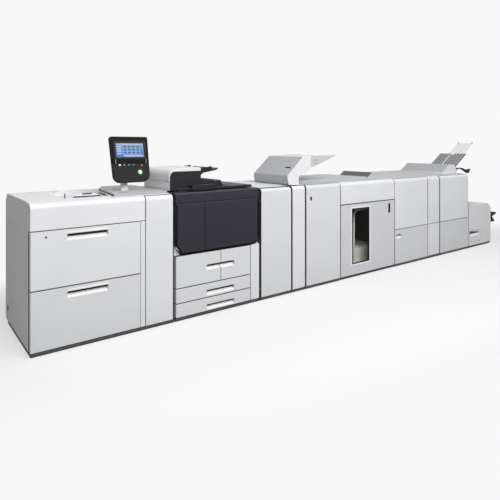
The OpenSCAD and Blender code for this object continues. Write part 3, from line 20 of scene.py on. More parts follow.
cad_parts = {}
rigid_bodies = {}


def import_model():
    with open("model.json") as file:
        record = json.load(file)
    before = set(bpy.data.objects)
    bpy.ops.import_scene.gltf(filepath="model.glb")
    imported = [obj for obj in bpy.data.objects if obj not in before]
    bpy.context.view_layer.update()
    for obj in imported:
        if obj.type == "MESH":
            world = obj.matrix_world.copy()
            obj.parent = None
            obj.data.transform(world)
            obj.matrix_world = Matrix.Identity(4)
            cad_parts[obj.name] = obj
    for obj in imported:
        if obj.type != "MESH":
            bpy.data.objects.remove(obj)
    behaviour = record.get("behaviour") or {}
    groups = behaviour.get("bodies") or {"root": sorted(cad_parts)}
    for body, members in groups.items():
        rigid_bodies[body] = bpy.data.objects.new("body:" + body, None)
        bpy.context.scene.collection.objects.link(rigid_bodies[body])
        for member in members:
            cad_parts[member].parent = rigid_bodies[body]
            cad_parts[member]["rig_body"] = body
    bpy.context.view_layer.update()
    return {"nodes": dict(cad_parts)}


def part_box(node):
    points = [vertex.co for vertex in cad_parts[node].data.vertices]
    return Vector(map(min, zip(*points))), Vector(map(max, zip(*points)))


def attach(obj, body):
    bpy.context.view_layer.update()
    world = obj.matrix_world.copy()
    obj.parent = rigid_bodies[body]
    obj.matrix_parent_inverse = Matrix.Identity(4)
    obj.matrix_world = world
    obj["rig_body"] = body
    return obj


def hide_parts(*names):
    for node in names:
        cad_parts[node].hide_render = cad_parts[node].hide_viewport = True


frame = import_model()

log = logging.getLogger("printer_line")

MM = 0.001
CORNER = Vector((-3.147, -0.417, 0.028))
DOWN, UP = Vector((0, 0, -1)), Vector((0, 0, 1))
FRONT, BACK = Vector((0, -1, 0)), Vector((0, 1, 0))
LEFT, RIGHT = Vector((-1, 0, 0)), Vector((1, 0, 0))

# Angles between faces: shaded as one, rounded, running on and flat.
SMOOTH_ANGLE = radians(32)
CRISP_ANGLE = radians(38)
RUN_ON_ANGLE = radians(50)
FLAT_ANGLE = radians(0.4)
MERGE_REACH = 0.00001

# How squarely a face looks one way, as a share of its unit normal.
FACING = 0.99
SQUARE = 0.9
STEEP = 0.6
LEANING = 0.45
SLOPING = 0.3

# Measures that several modules share, in millimetres.
DOOR_T = 42.0
SHELL_Y = 46.0
SKIN_Y = 49.5
WALL = 18.0
BACK_Y = 834.0
DOORS_TOP = 974.0

Edge = bmesh.types.BMEdge
Face = bmesh.types.BMFace
Part = Union[Edge, Face]
Test = Callable[[Part, Vector], bool]
Triple = tuple[float, float, float]
Span = tuple[float, float]
Box = tuple[Triple, Triple]


def at(x: float, y: float, z: float) -> Vector:
    """Turns a place in the line's millimetres into the frame's metres."""
    return Vector((x, y, z)) * MM + CORNER


def where(part: Part) -> Vector:
    """Gives the middle of a face or an edge in the line's millimetres."""
    total = sum((vert.co for vert in part.verts), Vector())
    return (total / len(part.verts) - CORNER) / MM


def tilted(place: Triple, angle: float, axis: str = "Y") -> Matrix:
    """Gives a turned frame whose millimetres start at a place of the line."""
    return (Matrix.Translation(at(*place)) @ Matrix.Rotation(angle, 4, axis)
            @ Matrix.Translation(-CORNER))


def linear(code: str, share: float = 1.0) -> tuple[float, ...]:
    """Turns a screen colour code into the linear colour a shader takes.

    Args:
        code: Six hexadecimal digits, two each of red, green and blue.
        share: How much of the light is kept.

    Returns:
        Red, green, blue and full alpha.
    """
    levels = (int(code[i:i + 2], 16) / 255 for i in (0, 2, 4))
    return *(share * (v / 12.92 if v <= 0.04045 else ((v + 0.055) / 1.055) ** 2.4)
             for v in levels), 1.0


class Slot(Enum):
    """Material slots of the record."""

    WHITE = "white_panel"
    LIGHT = "light_grey_cover"
    MID = "mid_grey_plastic"
    BLACK = "black_plastic"
    FRAME = "dark_frame"
    STEEL = "steel"
    GLASS = "glass"
    WINDOW = "dark_window"
    SCREEN = "screen"
    GREEN = "green_key"
    RED = "red_key"
    RUBBER = "rubber"
    SHEET = "white_sheet"


class Rims(Enum):
    """Which rims of a front get painted shade: left, right, bottom and top."""

    ALL = "LRBT"
    NOT_LEFT = "RBT"
    NOT_BOTTOM = "LRT"
    RIGHT_TOP = "RT"


class Kind(Enum):
    """What is picked on a mesh."""

    EDGE = "edges"
    FACE = "faces"


def operator(operation: str, turned: bool = False) -> Callable[..., "Signal"]:
    """Writes the method that adds one Math node.

    Args:
        operation: The node's operation.
        turned: Whether the signal is the second of its two terms.

    Returns:
        The method.
    """
    def act(own: "Signal", other: "Term") -> "Signal":
        """Adds the node and gives its result."""
        terms = (other, own) if turned else (own, other)
        return own.graph.node("Math", dict(enumerate(terms)), operation=operation)

    return act


@dataclass(eq=False)
class Signal:
    """A shader value that Python sums, products and tests are written with."""

    graph: "Graph"
    socket: bpy.types.NodeSocket

    __add__ = __radd__ = operator("ADD")
    __sub__, __rsub__ = operator("SUBTRACT"), operator("SUBTRACT", True)
    __mul__ = __rmul__ = operator("MULTIPLY")
    __truediv__, __mod__ = operator("DIVIDE"), operator("FLOORED_MODULO")
    __gt__, __lt__ = operator("GREATER_THAN"), operator("LESS_THAN")
    __or__ = operator("MAXIMUM")

    def span(self, low: float, high: float) -> "Signal":
        """Gives 1 where the value lies between two limits."""
        return (self > low) * (self < high)

    def ramp(self, low: float, high: float) -> "Signal":
        """Rises smoothly from 0 at low to 1 at high."""
        ends = {"Value": self, "From Min": low, "From Max": high}
        return self.graph.node("MapRange", ends, interpolation_type="SMOOTHSTEP")

    def beside(self, name: str) -> "Signal":
        """Gives another output of the same node."""
        return Signal(self.graph, self.socket.node.outputs[name])


Term = Union[Signal, float]


class Graph:
    """The node tree of a material or of the world."""

    def __init__(self, owner: bpy.types.ID, output: str = "OutputMaterial") -> None:
        """Leaves an output in the owner's tree and nothing else.

        Args:
            owner: The material or world.
            output: The output node's type, without its ShaderNode.
        """
        owner.use_nodes = True
        self.owner, self.tree = owner, owner.node_tree
        self.tree.nodes.clear()
        self.output = self.tree.nodes.new("ShaderNode" + output)

    @cached_property
    def point(self) -> Signal:
        """Gives the point on the piece in the frame's metres."""
        return self.node("TexCoord", out="Object")

    def point_in(self, local: Matrix) -> Signal:
        """Gives the point on the piece in a tilted frame's metres.

        Args:
            local: The tilted frame.

        Returns:
            The point.
        """
        back = local.inverted()
        return self.node("Mapping", {
            "Vector": self.point, "Location": back.translation,
            "Rotation": back.to_euler()})

    def node(self, kind: str, values: Optional[dict] = None,
             out: Union[int, str] = 0, **settings: object) -> Signal:
        """Adds one node.

        Args:
            kind: The node's type, without its ShaderNode.
            values: Numbers, colours or signals by socket.
            out: The output that is wanted.
            settings: Properties set before its sockets are filled.

        Returns:
            That output.
        """
        made = self.tree.nodes.new("ShaderNode" + kind)
        for name, value in settings.items():
            setattr(made, name, value)
        for key, value in (values or {}).items():
            if isinstance(value, Signal):
                self.tree.links.new(value.socket, made.inputs[key])
            else:
                made.inputs[key].default_value = value
        return Signal(self, made.outputs[out])

    def parts(self, point: Signal) -> tuple[Signal, Signal, Signal]:
        """Splits a point into its places along X, Y and Z."""
        first = self.node("SeparateXYZ", {"Vector": point}, "X")
        return first, first.beside("Y"), first.beside("Z")

    def noise(self, scale: float, detail: float = 2.0,
              point: Optional[Signal] = None) -> Signal:
        """Gives a soft random value from 0 to 1, with scale features to a metre."""
        return self.node("TexNoise", {
            "Vector": point or self.point, "Scale": scale, "Detail": detail})

    def mix(self, low: object, high: object, share: Term) -> Signal:
        """Mixes two colours, all low at share 0 and all high at 1."""
        return self.node("Mix", {0: share, 6: low, 7: high}, 2, data_type="RGBA")

    def bump(self, height: Signal, depth: float) -> Signal:
        """Turns a height from 0 to 1 into a normal; depth is in millimetres."""
        return self.node("Bump", {
            "Height": height, "Distance": depth * MM, "Strength": 1.0})

    def close(self, shader: Signal) -> None:
        """Joins a shader to the output."""
        self.tree.links.new(shader.socket, self.output.inputs["Surface"])


@dataclass(frozen=True)
class Moulded:
    """Moulded or sprayed plastic with a fine texture and light soiling.

    Fields: colour is the main tint and roughness its mean; grain is the
    texture's height in millimetres and pores its features per metre; drift is
    how far the tint wanders; soil how much the lower edges darken; metal is 1
    for a metallic finish; gloss is how strongly it mirrors; hollows are boxes
    whose inside is painted dark as painted shade, in hollow_shade.
    """

    name: str
    slot: Slot
    colour: str
    roughness: float = 0.45
    grain: float = 0.03
    pores: float = 900.0
    drift: float = 0.02
    soil: float = 0.05
    metal: float = 0.0
    gloss: float = 0.5
    hollows: tuple[Box, ...] = ()
    hollow_shade: str = "46474b"

    def tint(self, graph: Graph) -> Signal:
        """Gives the colour over the surface.

        Args:
            graph: The material's graph.

        Returns:
            The colour.
        """
        colour = graph.mix(linear(self.colour, 1 - 2 * self.drift),
                           linear(self.colour), graph.noise(2.3, 3.0).ramp(0.25, 0.6))
        measures = graph.parts(graph.point)
        near_floor = 1 - measures[2].ramp(0.03, 0.26)
        dust = near_floor * graph.noise(38.0, 4.0) * self.soil
        colour = graph.mix(colour, linear("6f6a62"), dust)
        # Painted shade: darkens the hollows behind the doors.
        for low, high in self.hollows:
            x, y, z = (measure.span(*ends) for measure, ends
                       in zip(measures, zip(at(*low), at(*high))))
            colour = graph.mix(colour, linear(self.hollow_shade), x * y * z)
        return colour

    def sockets(self, graph: Graph) -> dict:
        """Gives what the shader's sockets take.

        Args:
            graph: The material's graph.

        Returns:
            Numbers, colours or signals by socket.
        """
        return {
            "Base Color": self.tint(graph),
            "Roughness": graph.noise(14.0, 3.0) * 0.10 + (self.roughness - 0.05),
            "Normal": graph.bump(graph.noise(self.pores), self.grain),
            "Metallic": self.metal,
            "Specular IOR Level": self.gloss}

    def material(self) -> bpy.types.Material:
        """Makes the material once and gives it again after that.

        Returns:
            The material.
        """
        known = bpy.data.materials.get(self.name)
        if known:
            return known
        graph = Graph(bpy.data.materials.new(self.name))
        graph.close(graph.node("BsdfPrincipled", self.sockets(graph)))
        return graph.owner


@dataclass(frozen=True)
class Brushed(Moulded):
    """Finish with fine lines drawn along one direction; lines is per metre."""

    lines: Triple = (900.0, 20.0, 900.0)

    def sockets(self, graph: Graph) -> dict:
        """Gives what the shader's sockets take.

        Args:
            graph: The material's graph.

        Returns:
            Numbers, colours or signals by socket.
        """
        drawn = graph.node("Mapping", {"Vector": graph.point, "Scale": self.lines})
        line = graph.noise(1.0, 2.0, drawn)
        return {
            "Base Color": graph.mix(
                linear(self.colour, 0.8), linear(self.colour), line),
            "Roughness": line * 0.16 + (self.roughness - 0.08),
            "Normal": graph.bump(line, self.grain),
            "Metallic": self.metal}


@dataclass(frozen=True)
class Clear(Moulded):
    """Clear or smoked pane; alpha is how much of it stops light."""

    alpha: float = 0.3

    def sockets(self, graph: Graph) -> dict:
        """Gives what the shader's sockets take.

        Args:
            graph: The material's graph.

        Returns:
            Numbers, colours or signals by socket.
        """
        haze = graph.noise(9.0, 3.0)
        return {
            "Base Color": self.tint(graph),
            "Roughness": haze * 0.05 + self.roughness,
            "Alpha": haze * 0.06 + (self.alpha - 0.03),
            "IOR": 1.5}


@dataclass(frozen=True)
class TwoTone(Moulded):
    """Panel plastic, glossy black above and dull dark grey below.

    Fields: change is the height, in the panel's frame, where one gives way to
    the other; lower is the grey; local is that frame.
    """

    change: float = 0.141
    lower: str = "2b2c2a"
    local: Matrix = field(default_factory=Matrix)

    def sockets(self, graph: Graph) -> dict:
        """Gives what the shader's sockets take.

        Args:
            graph: The material's graph.

        Returns:
            Numbers, colours or signals by socket.
        """
        _, _, up = graph.parts(graph.point_in(self.local))
        above = up.ramp(self.change - MM, self.change + MM)
        return {
            "Base Color": graph.mix(linear(self.lower), self.tint(graph), above),
            "Roughness": graph.noise(26.0, 3.0) * 0.08 + 0.5 - above * 0.22,
            "Normal": graph.bump(graph.noise(self.pores), self.grain),
            "Specular IOR Level": self.gloss}


@dataclass(frozen=True)
class LitScreen(Moulded):
    """Touch screen that shows plain blocks, with no words or marks.

    Fields: width and height are the screen's, foot its lower edge, glow its
    brightness and local the panel's frame.
    """

    width: float = 0.23
    height: float = 0.114
    foot: float = 0.186
    glow: float = 0.7
    local: Matrix = field(default_factory=Matrix)

    def sockets(self, graph: Graph) -> dict:
        """Gives what the shader's sockets take.

        Args:
            graph: The material's graph.

        Returns:
            Numbers, colours or signals by socket.
        """
        across, _, up = graph.parts(graph.point_in(self.local))
        u = across / self.width + 0.5
        v = (up - self.foot) / self.height
        page = u.span(0.24, 0.86) * v.span(0.2, 0.84)
        tiles = (((u - 0.26) % 0.15).span(0.012, 0.118)
                 * ((v - 0.24) % 0.2).span(0.03, 0.155))
        side_rows = ((v - 0.2) % 0.16).span(0.03, 0.12) * v.span(0.2, 0.84)
        colour = graph.mix(linear("4f86cc"), linear("7fafe6"), v.ramp(0.1, 1.0))
        for code, mask in (
                ("97bfec", page), ("3f70b2", page * tiles),
                ("d7e8fb", u.span(0.05, 0.2) * side_rows),
                ("dbe9fa", u.span(0.05, 0.95) * v.span(0.88, 0.94)),
                ("e6f1fd", u.span(0.28, 0.95) * v.span(0.07, 0.15))):
            colour = graph.mix(colour, linear(code), mask)
        lit = u.span(0.02, 0.98) * v.span(0.03, 0.97)
        return {
            "Base Color": linear(self.colour),
            "Roughness": graph.noise(30.0) * 0.05 + 0.12,
            "Emission Color": graph.mix(linear(self.colour), colour, lit),
            "Emission Strength": self.glow,
            "Specular IOR Level": self.gloss}


WHITE = Moulded("white_panel_paint", Slot.WHITE, "dfe0e2")
WHITE_TOP = Moulded("white_cover_plastic", Slot.WHITE, "e4e4e6", 0.42)
COVER = Moulded("light_grey_cover", Slot.LIGHT, "cfd0d2", 0.5)
# Painted shade: a shaded copy of the light grey, for the screen swivel, the inserter
# tray and the stack platform.
SHADE_GREY = Moulded("light_grey_housing", Slot.LIGHT, "c2c3c5", 0.5)
MID = Moulded("mid_grey_plastic", Slot.MID, "8f9194", 0.5)
# Painted shade: darker copies of the white panel paint, for fronts lower down and
# further right, which get less light.
SHADED_PANEL = Moulded("lower_panel_paint", Slot.WHITE, "d8d9db")
DEEPER_SHADED_PANEL = Moulded("right_lower_panel_paint", Slot.WHITE, "d2d3d5")
SHADED_CART_DOOR = Moulded("cart_door_paint", Slot.WHITE, "cfd0d3")
# Painted shade for faces that turn left, away from the lamp.
SHADED_SIDE_GREY = Moulded("shaded_side_plastic", Slot.LIGHT, "b5b6b9", 0.5)
TOP_GREY = Moulded("stacker_top_plastic", Slot.LIGHT, "b9babd", 0.5)
PLATE_GREY = Moulded("top_plate_plastic", Slot.LIGHT, "bbbcbe", 0.5)
# Painted shade for the left face of the stacker cover's hump.
SHADED_HUMP_GREY = Moulded("dark_hump_plastic", Slot.MID, "525356", 0.5)
HOUSING = Moulded("feed_housing_plastic", Slot.LIGHT, "adaeb1", 0.5)
# Painted shade for the dark rims, hinge arms, slot and gaps between parts.
SEAM = Moulded("seam_shadow_paint", Slot.FRAME, "3c3d40", 0.7, 0.02, soil=0.0)
# Painted shade, lighter, for the door gaps of the later modules and the folder's joint
# line.
SOFT_SEAM_SHADOW = Moulded("soft_seam_paint", Slot.FRAME, "6c6d70", 0.7, 0.02, soil=0.0)
# Plinth strips, painted near black as painted shade under the cabinets.
SHADED_PLINTH = Moulded("dark_plinth_paint", Slot.FRAME, "37383a", 0.6, 0.02, soil=0.0)
# Painted light: near white, so the cart and its handle tube read as lit inside the dim
# bay.
LIT_TUB_WHITE = Moulded("bright_tub_plastic", Slot.MID, "f2f2ee", 0.5, soil=0.0)
# Bright white parts, and painted highlights on the grips' scoops, the lips, the corner
# trim and the document feeder's left end.
WHITE_AND_HIGHLIGHT = Moulded("bright_scoop_plastic", Slot.WHITE, "f0f0f1", 0.4, soil=0.0)
# Black parts, and painted shade in grip recesses, at the bypass guide's foot and under
# the housing's edge.
BLACK_AND_SHADE = Moulded("black_edge_plastic", Slot.BLACK, "151518", 0.5, soil=0.0)
# Deep black parts, and painted shadow strips along the black doors' edges.
DEEP_BLACK_AND_SHADOW = Moulded("deep_black_edge", Slot.BLACK, "060608", 0.8, soil=0.0, gloss=0.1)
DIM_KEY = Moulded("dim_key_plastic", Slot.MID, "5f6162", 0.4, soil=0.0)
WHITE_KEY = Moulded("white_key_plastic", Slot.WHITE, "f4f4f4", 0.35, soil=0.0)
TRAY_GREY = Moulded("output_tray_plastic", Slot.MID, "9a9ba0", 0.5)
TRIM_GREY = Moulded("trimmer_front_plastic", Slot.LIGHT, "dedfe1", 0.48)
BLACK = Moulded("black_front_plastic", Slot.BLACK, "26252f", 0.42, 0.02, 1100.0,
                0.03, 0.0, gloss=0.42)
BLACK_SOFT = Moulded("black_moulded_plastic", Slot.BLACK, "1f1f23", 0.5, 0.03,
                     1000.0, 0.04, 0.0, gloss=0.3)
GLOSS_BLACK = Moulded("glossy_black_band", Slot.BLACK, "0b0b0e", 0.2, 0.0,
                      400.0, 0.02, 0.0, gloss=0.12)
FRAME_GREY = Moulded("dark_frame_paint", Slot.FRAME, "4b4d50", 0.55)
STEEL = Brushed("brushed_steel", Slot.STEEL, "b4b8bc", 0.34, 0.01, metal=1.0)
GLASS = Clear("platen_glass", Slot.GLASS, "27343a", 0.05, alpha=0.82)
SMOKED = Clear("smoked_window", Slot.WINDOW, "2a2620", 0.08, alpha=0.1)
CLEAR_TRAY = Clear("clear_tray_plastic", Slot.SHEET, "dcdcdc", 0.2, alpha=0.3)
GREEN = Moulded("start_key_ring", Slot.GREEN, "3f9a5c", 0.3, soil=0.0)
RED = Moulded("stop_key_cap", Slot.RED, "8a3a34", 0.35, soil=0.0)
RUBBER = Moulded("black_rubber", Slot.RUBBER, "2c2c2d", 0.8, 0.05, 1500.0, 0.05)
SHEET = Moulded("white_backing_sheet", Slot.SHEET, "f4f4f3", 0.6, soil=0.0)
REAM = Brushed("paper_ream_edges", Slot.SHEET, "f1f1ee", 0.62, 0.02,
               lines=(25.0, 25.0, 3500.0))
LENS = Moulded("lamp_lens", Slot.BLACK, "1b2a22", 0.15, 0.0, soil=0.0)


def clear_all() -> None:
    """Leaves edit mode and deselects every object."""
    if bpy.context.mode != "OBJECT":
        bpy.ops.object.mode_set(mode="OBJECT")
    bpy.ops.object.select_all(action="DESELECT")


def merge() -> None:
    """Merges the picked loose triangles into flat faces."""
    bpy.ops.mesh.remove_doubles(threshold=MERGE_REACH)
    bpy.ops.mesh.dissolve_limited(angle_limit=FLAT_ANGLE)


def is_crisp(edge: Edge) -> bool:
    """Says whether an edge stands out sharply between two faces."""
    return (edge.is_manifold and edge.is_convex
            and edge.calc_face_angle(0.0) > CRISP_ANGLE)


def has_room(edge: Edge, width: float) -> bool:
    """Says whether rounding an edge stays clear of what is next to it.

    Args:
        edge: The edge.
        width: Width of the rounding in metres.

    Returns:
        Whether no short edge at its ends would be run over.
    """
    if edge.calc_length() < width * 0.6:
        return False
    for corner in edge.verts:
        away = (corner.co - edge.other_vert(corner).co).normalized()
        for other in corner.link_edges:
            onward = other.other_vert(corner).co - corner.co
            crisp = is_crisp(other)
            if other is edge or crisp and onward.angle(away, pi) < RUN_ON_ANGLE:
                continue
            if onward.length < width * (2.2 if crisp else 1.15):
                return False
    return True


def anywhere(part: Part, spot: Vector) -> bool:
    """Lets every face or edge through."""
    return True


def within(low: Triple, high: Triple) -> Test:
    """Writes the test that the middle of a face or an edge lies in a box."""
    return lambda part, spot: all(
        start < place < end for start, place, end in zip(low, spot, high))


def is_top(face: Face, spot: Vector) -> bool:
    """Says whether a face is part of a module's flat top."""
    return face.normal.z > 0.97 and spot.z > 978 and spot.y > 60


@dataclass
class Work:
    """One piece on the bench, shaped by the modelling operators as by hand.

    Fields: piece is its object; node is the CAD node that it stands for.
    """

    piece: bpy.types.Object
    node: str = ""

    @classmethod
    def twin(cls, node: str) -> "Work":
        """Copies a CAD node's mesh and merges its loose triangles.

        Args:
            node: The CAD node.

        Returns:
            The copy.
        """
        mesh = frame["nodes"][node].data.copy()
        work = cls(bpy.data.objects.new(node + ".eased", mesh), node)
        bpy.context.scene.collection.objects.link(work.piece)
        work.focus()
        bpy.ops.mesh.customdata_custom_splitnormals_clear()
        return work.shape(anywhere, merge)

    @classmethod
    def block(cls, name: str, low: Triple, high: Triple, width: float = 0.0) -> "Work":
        """Starts a piece as a box with eased edges.

        Args:
            name: The piece's name.
            low: Its lowest corner.
            high: Its highest corner.
            width: Width of the rounding.

        Returns:
            The piece.
        """
        first, last = at(*low), at(*high)
        clear_all()
        bpy.ops.mesh.primitive_cube_add(
            size=1, location=(first + last) / 2, scale=last - first)
        bpy.context.active_object.name = name
        work = cls(bpy.context.active_object).settle()
        return work.ease(width) if width else work

    @classmethod
    def bar(cls, name: str, centre: Triple, along: Vector, length: float,
            radius: float, sides: int = 32) -> "Work":
        """Starts a piece as a round bar.

        Args:
            name: The piece's name.
            centre: Its middle.
            along: Its direction.
            length: Its length.
            radius: Its radius.
            sides: Its sides.

        Returns:
            The piece.
        """
        clear_all()
        bpy.ops.mesh.primitive_cylinder_add(
            vertices=sides, radius=radius * MM, depth=length * MM,
            location=at(*centre), rotation=along.to_track_quat("Z", "Y").to_euler())
        bpy.context.active_object.name = name
        return cls(bpy.context.active_object).settle()

    @classmethod
    def bolt(cls, name: str, foot: Triple, along: Vector, radius: float,
             depth: float) -> "Work":
        """Starts a piece as a low round head with a sunk middle.

        Args:
            name: The piece's name.
            foot: The middle of its foot.
            along: The way that it faces.
            radius: Its radius.
            depth: How far it stands out.

        Returns:
            The piece.
        """
        middle = tuple(Vector(foot) + along * depth / 2)
        head = cls.bar(name, middle, along, depth, radius, 24)
        head.step(along, radius * 0.45, -depth * 0.4)
        return head.ease(min(radius, depth) * 0.2)

    @classmethod
    def ring(cls, name: str, low: Triple, high: Triple, border: float,
             width: float) -> "Work":
        """Starts a piece as a frame round an opening that faces the front.

        Args:
            name: The piece's name.
            low: Its lowest corner.
            high: Its highest corner.
            border: Width of the frame.
            width: Width of the rounding.

        Returns:
            The piece.
        """
        def pierce() -> None:
            """Opens the picked front and back."""
            bpy.ops.mesh.inset(thickness=border * MM, depth=0)
            bpy.ops.mesh.bridge_edge_loops()

        return cls.block(name, low, high).shape(
            lambda face, spot: abs(face.normal.y) > FACING, pierce).ease(width)

    @staticmethod
    def join(name: str, works: Sequence["Work"]) -> "Work":
        """Joins pieces into one.

        Args:
            name: The joined piece's name.
            works: The pieces.

        Returns:
            The joined piece.
        """
        works[0].focus()
        for work in works:
            work.piece.select_set(True)
        if len(works) > 1:
            bpy.ops.object.join()
        works[0].piece.name = name
        return works[0]

    def focus(self) -> None:
        """Makes the piece the only one selected."""
        clear_all()
        self.piece.select_set(True)
        bpy.context.view_layer.objects.active = self.piece

    def shape(self, test: Test, act: Callable[[], object],
              kind: Kind = Kind.FACE) -> "Work":
        """Acts, in edit mode, on the faces or edges that pass a test.

        Args:
            test: The test, on each of them and its place.
            act: What is done to them, if there are any.
            kind: Whether faces or edges.

        Returns:
            The piece.
        """
        self.focus()
        bpy.ops.object.mode_set(mode="EDIT")
        bpy.ops.mesh.select_mode(type=kind.name)
        bpy.ops.mesh.select_all(action="DESELECT")
        mesh = bmesh.from_edit_mesh(self.piece.data)
        mesh.normal_update()
        chosen = [part for part in getattr(mesh, kind.value) if test(part, where(part))]
        for part in chosen:
            part.select_set(True)
        bmesh.update_edit_mesh(self.piece.data)
        if chosen:
            act()
        bpy.ops.object.mode_set(mode="OBJECT")
        return self

    def settle(self, local: Optional[Matrix] = None) -> "Work":
        """Puts the piece's place into its mesh.

        Args:
            local: A tilted frame that it was drawn in, if any.

        Returns:
            The piece.
        """
        if local is not None:
            self.piece.matrix_world = local @ self.piece.matrix_world
        self.focus()
        bpy.ops.object.transform_apply(location=True, rotation=True, scale=True)
        return self

    def ease(self, width: float, segments: int = 2, test: Test = anywhere) -> "Work":
        """Rounds the crisp outer edges that have room for it.

        Args:
            width: Width of the rounding.
            segments: Steps across it.
            test: A further test on the edges.

        Returns:
            The piece.
        """
        return self.shape(
            lambda edge, spot: is_crisp(edge) and has_room(edge, width * MM)
            and test(edge, spot),
            lambda: bpy.ops.mesh.bevel(offset=width * MM, segments=segments,
                                       affect="EDGES", clamp_overlap=False), Kind.EDGE)

    def step(self, facing: Vector, inset: float, rise: float,
             test: Test = anywhere) -> "Work":
        """Insets the faces that look one way, then raises or sinks them.

        Args:
            facing: The way that the faces look.
            inset: Width of the border that stays.
            rise: How far outwards, or inwards if negative.
            test: A further test on the faces.

        Returns:
            The piece.
        """
        def move() -> None:
            """Insets the picked faces and moves them."""
            bpy.ops.mesh.inset(thickness=inset * MM, depth=0)
            bpy.ops.mesh.extrude_region_move(
                TRANSFORM_OT_translate={"value": facing * rise * MM})

        return self.shape(lambda face, spot: face.normal.dot(facing) > FACING
                          and test(face, spot), move)

    def slit(self, height: float, test: Test) -> "Work":
        """Cuts the faces that pass a test at one height, and keeps both sides."""
        return self.shape(test, lambda: bpy.ops.mesh.bisect(
            plane_co=at(0, 0, height), plane_no=UP))

    def paint(self, finish: Moulded, test: Test) -> "Work":
        """Gives the faces that pass a test another finish.

        Args:
            finish: The other finish.
            test: The test.

        Returns:
            The piece.
        """
        self.piece.data.materials.append(finish.material())
        self.piece.active_material_index = len(self.piece.data.materials) - 1
        return self.shape(test, bpy.ops.object.material_slot_assign)


@dataclass(frozen=True)
class Grip:
    """Handle recess in a front: its ends, its upper edge and its height."""

    left: float
    right: float
    top: float
    height: float = 42.0
    depth: float = 32.0
    shade: float = 21.0

    def holds(self, spot: Vector) -> bool:
        """Says whether a place lies in the recess."""
        return (self.left - 1 < spot.x < self.right + 1 and 1 < spot.y < self.depth
                and self.top - self.height - 1 < spot.z < self.top + 1)

    def is_back(self, face: Face, spot: Vector) -> bool:
        """Says whether a face is the recess's back wall."""
        return self.holds(spot) and face.normal.y < -SQUARE

    def is_shaded(self, face: Face, spot: Vector) -> bool:
        """Says whether a face is the upper part of the recess, in painted shade."""
        return self.holds(spot) and (
            face.normal.z < -0.5 or spot.z > self.top - self.shade)

    def is_scoop(self, face: Face, spot: Vector) -> bool:
        """Says whether a face is the recess's lower part, with a painted highlight."""
        return (self.holds(spot) and spot.z < self.top - self.shade
                and abs(face.normal.x) < 0.5)


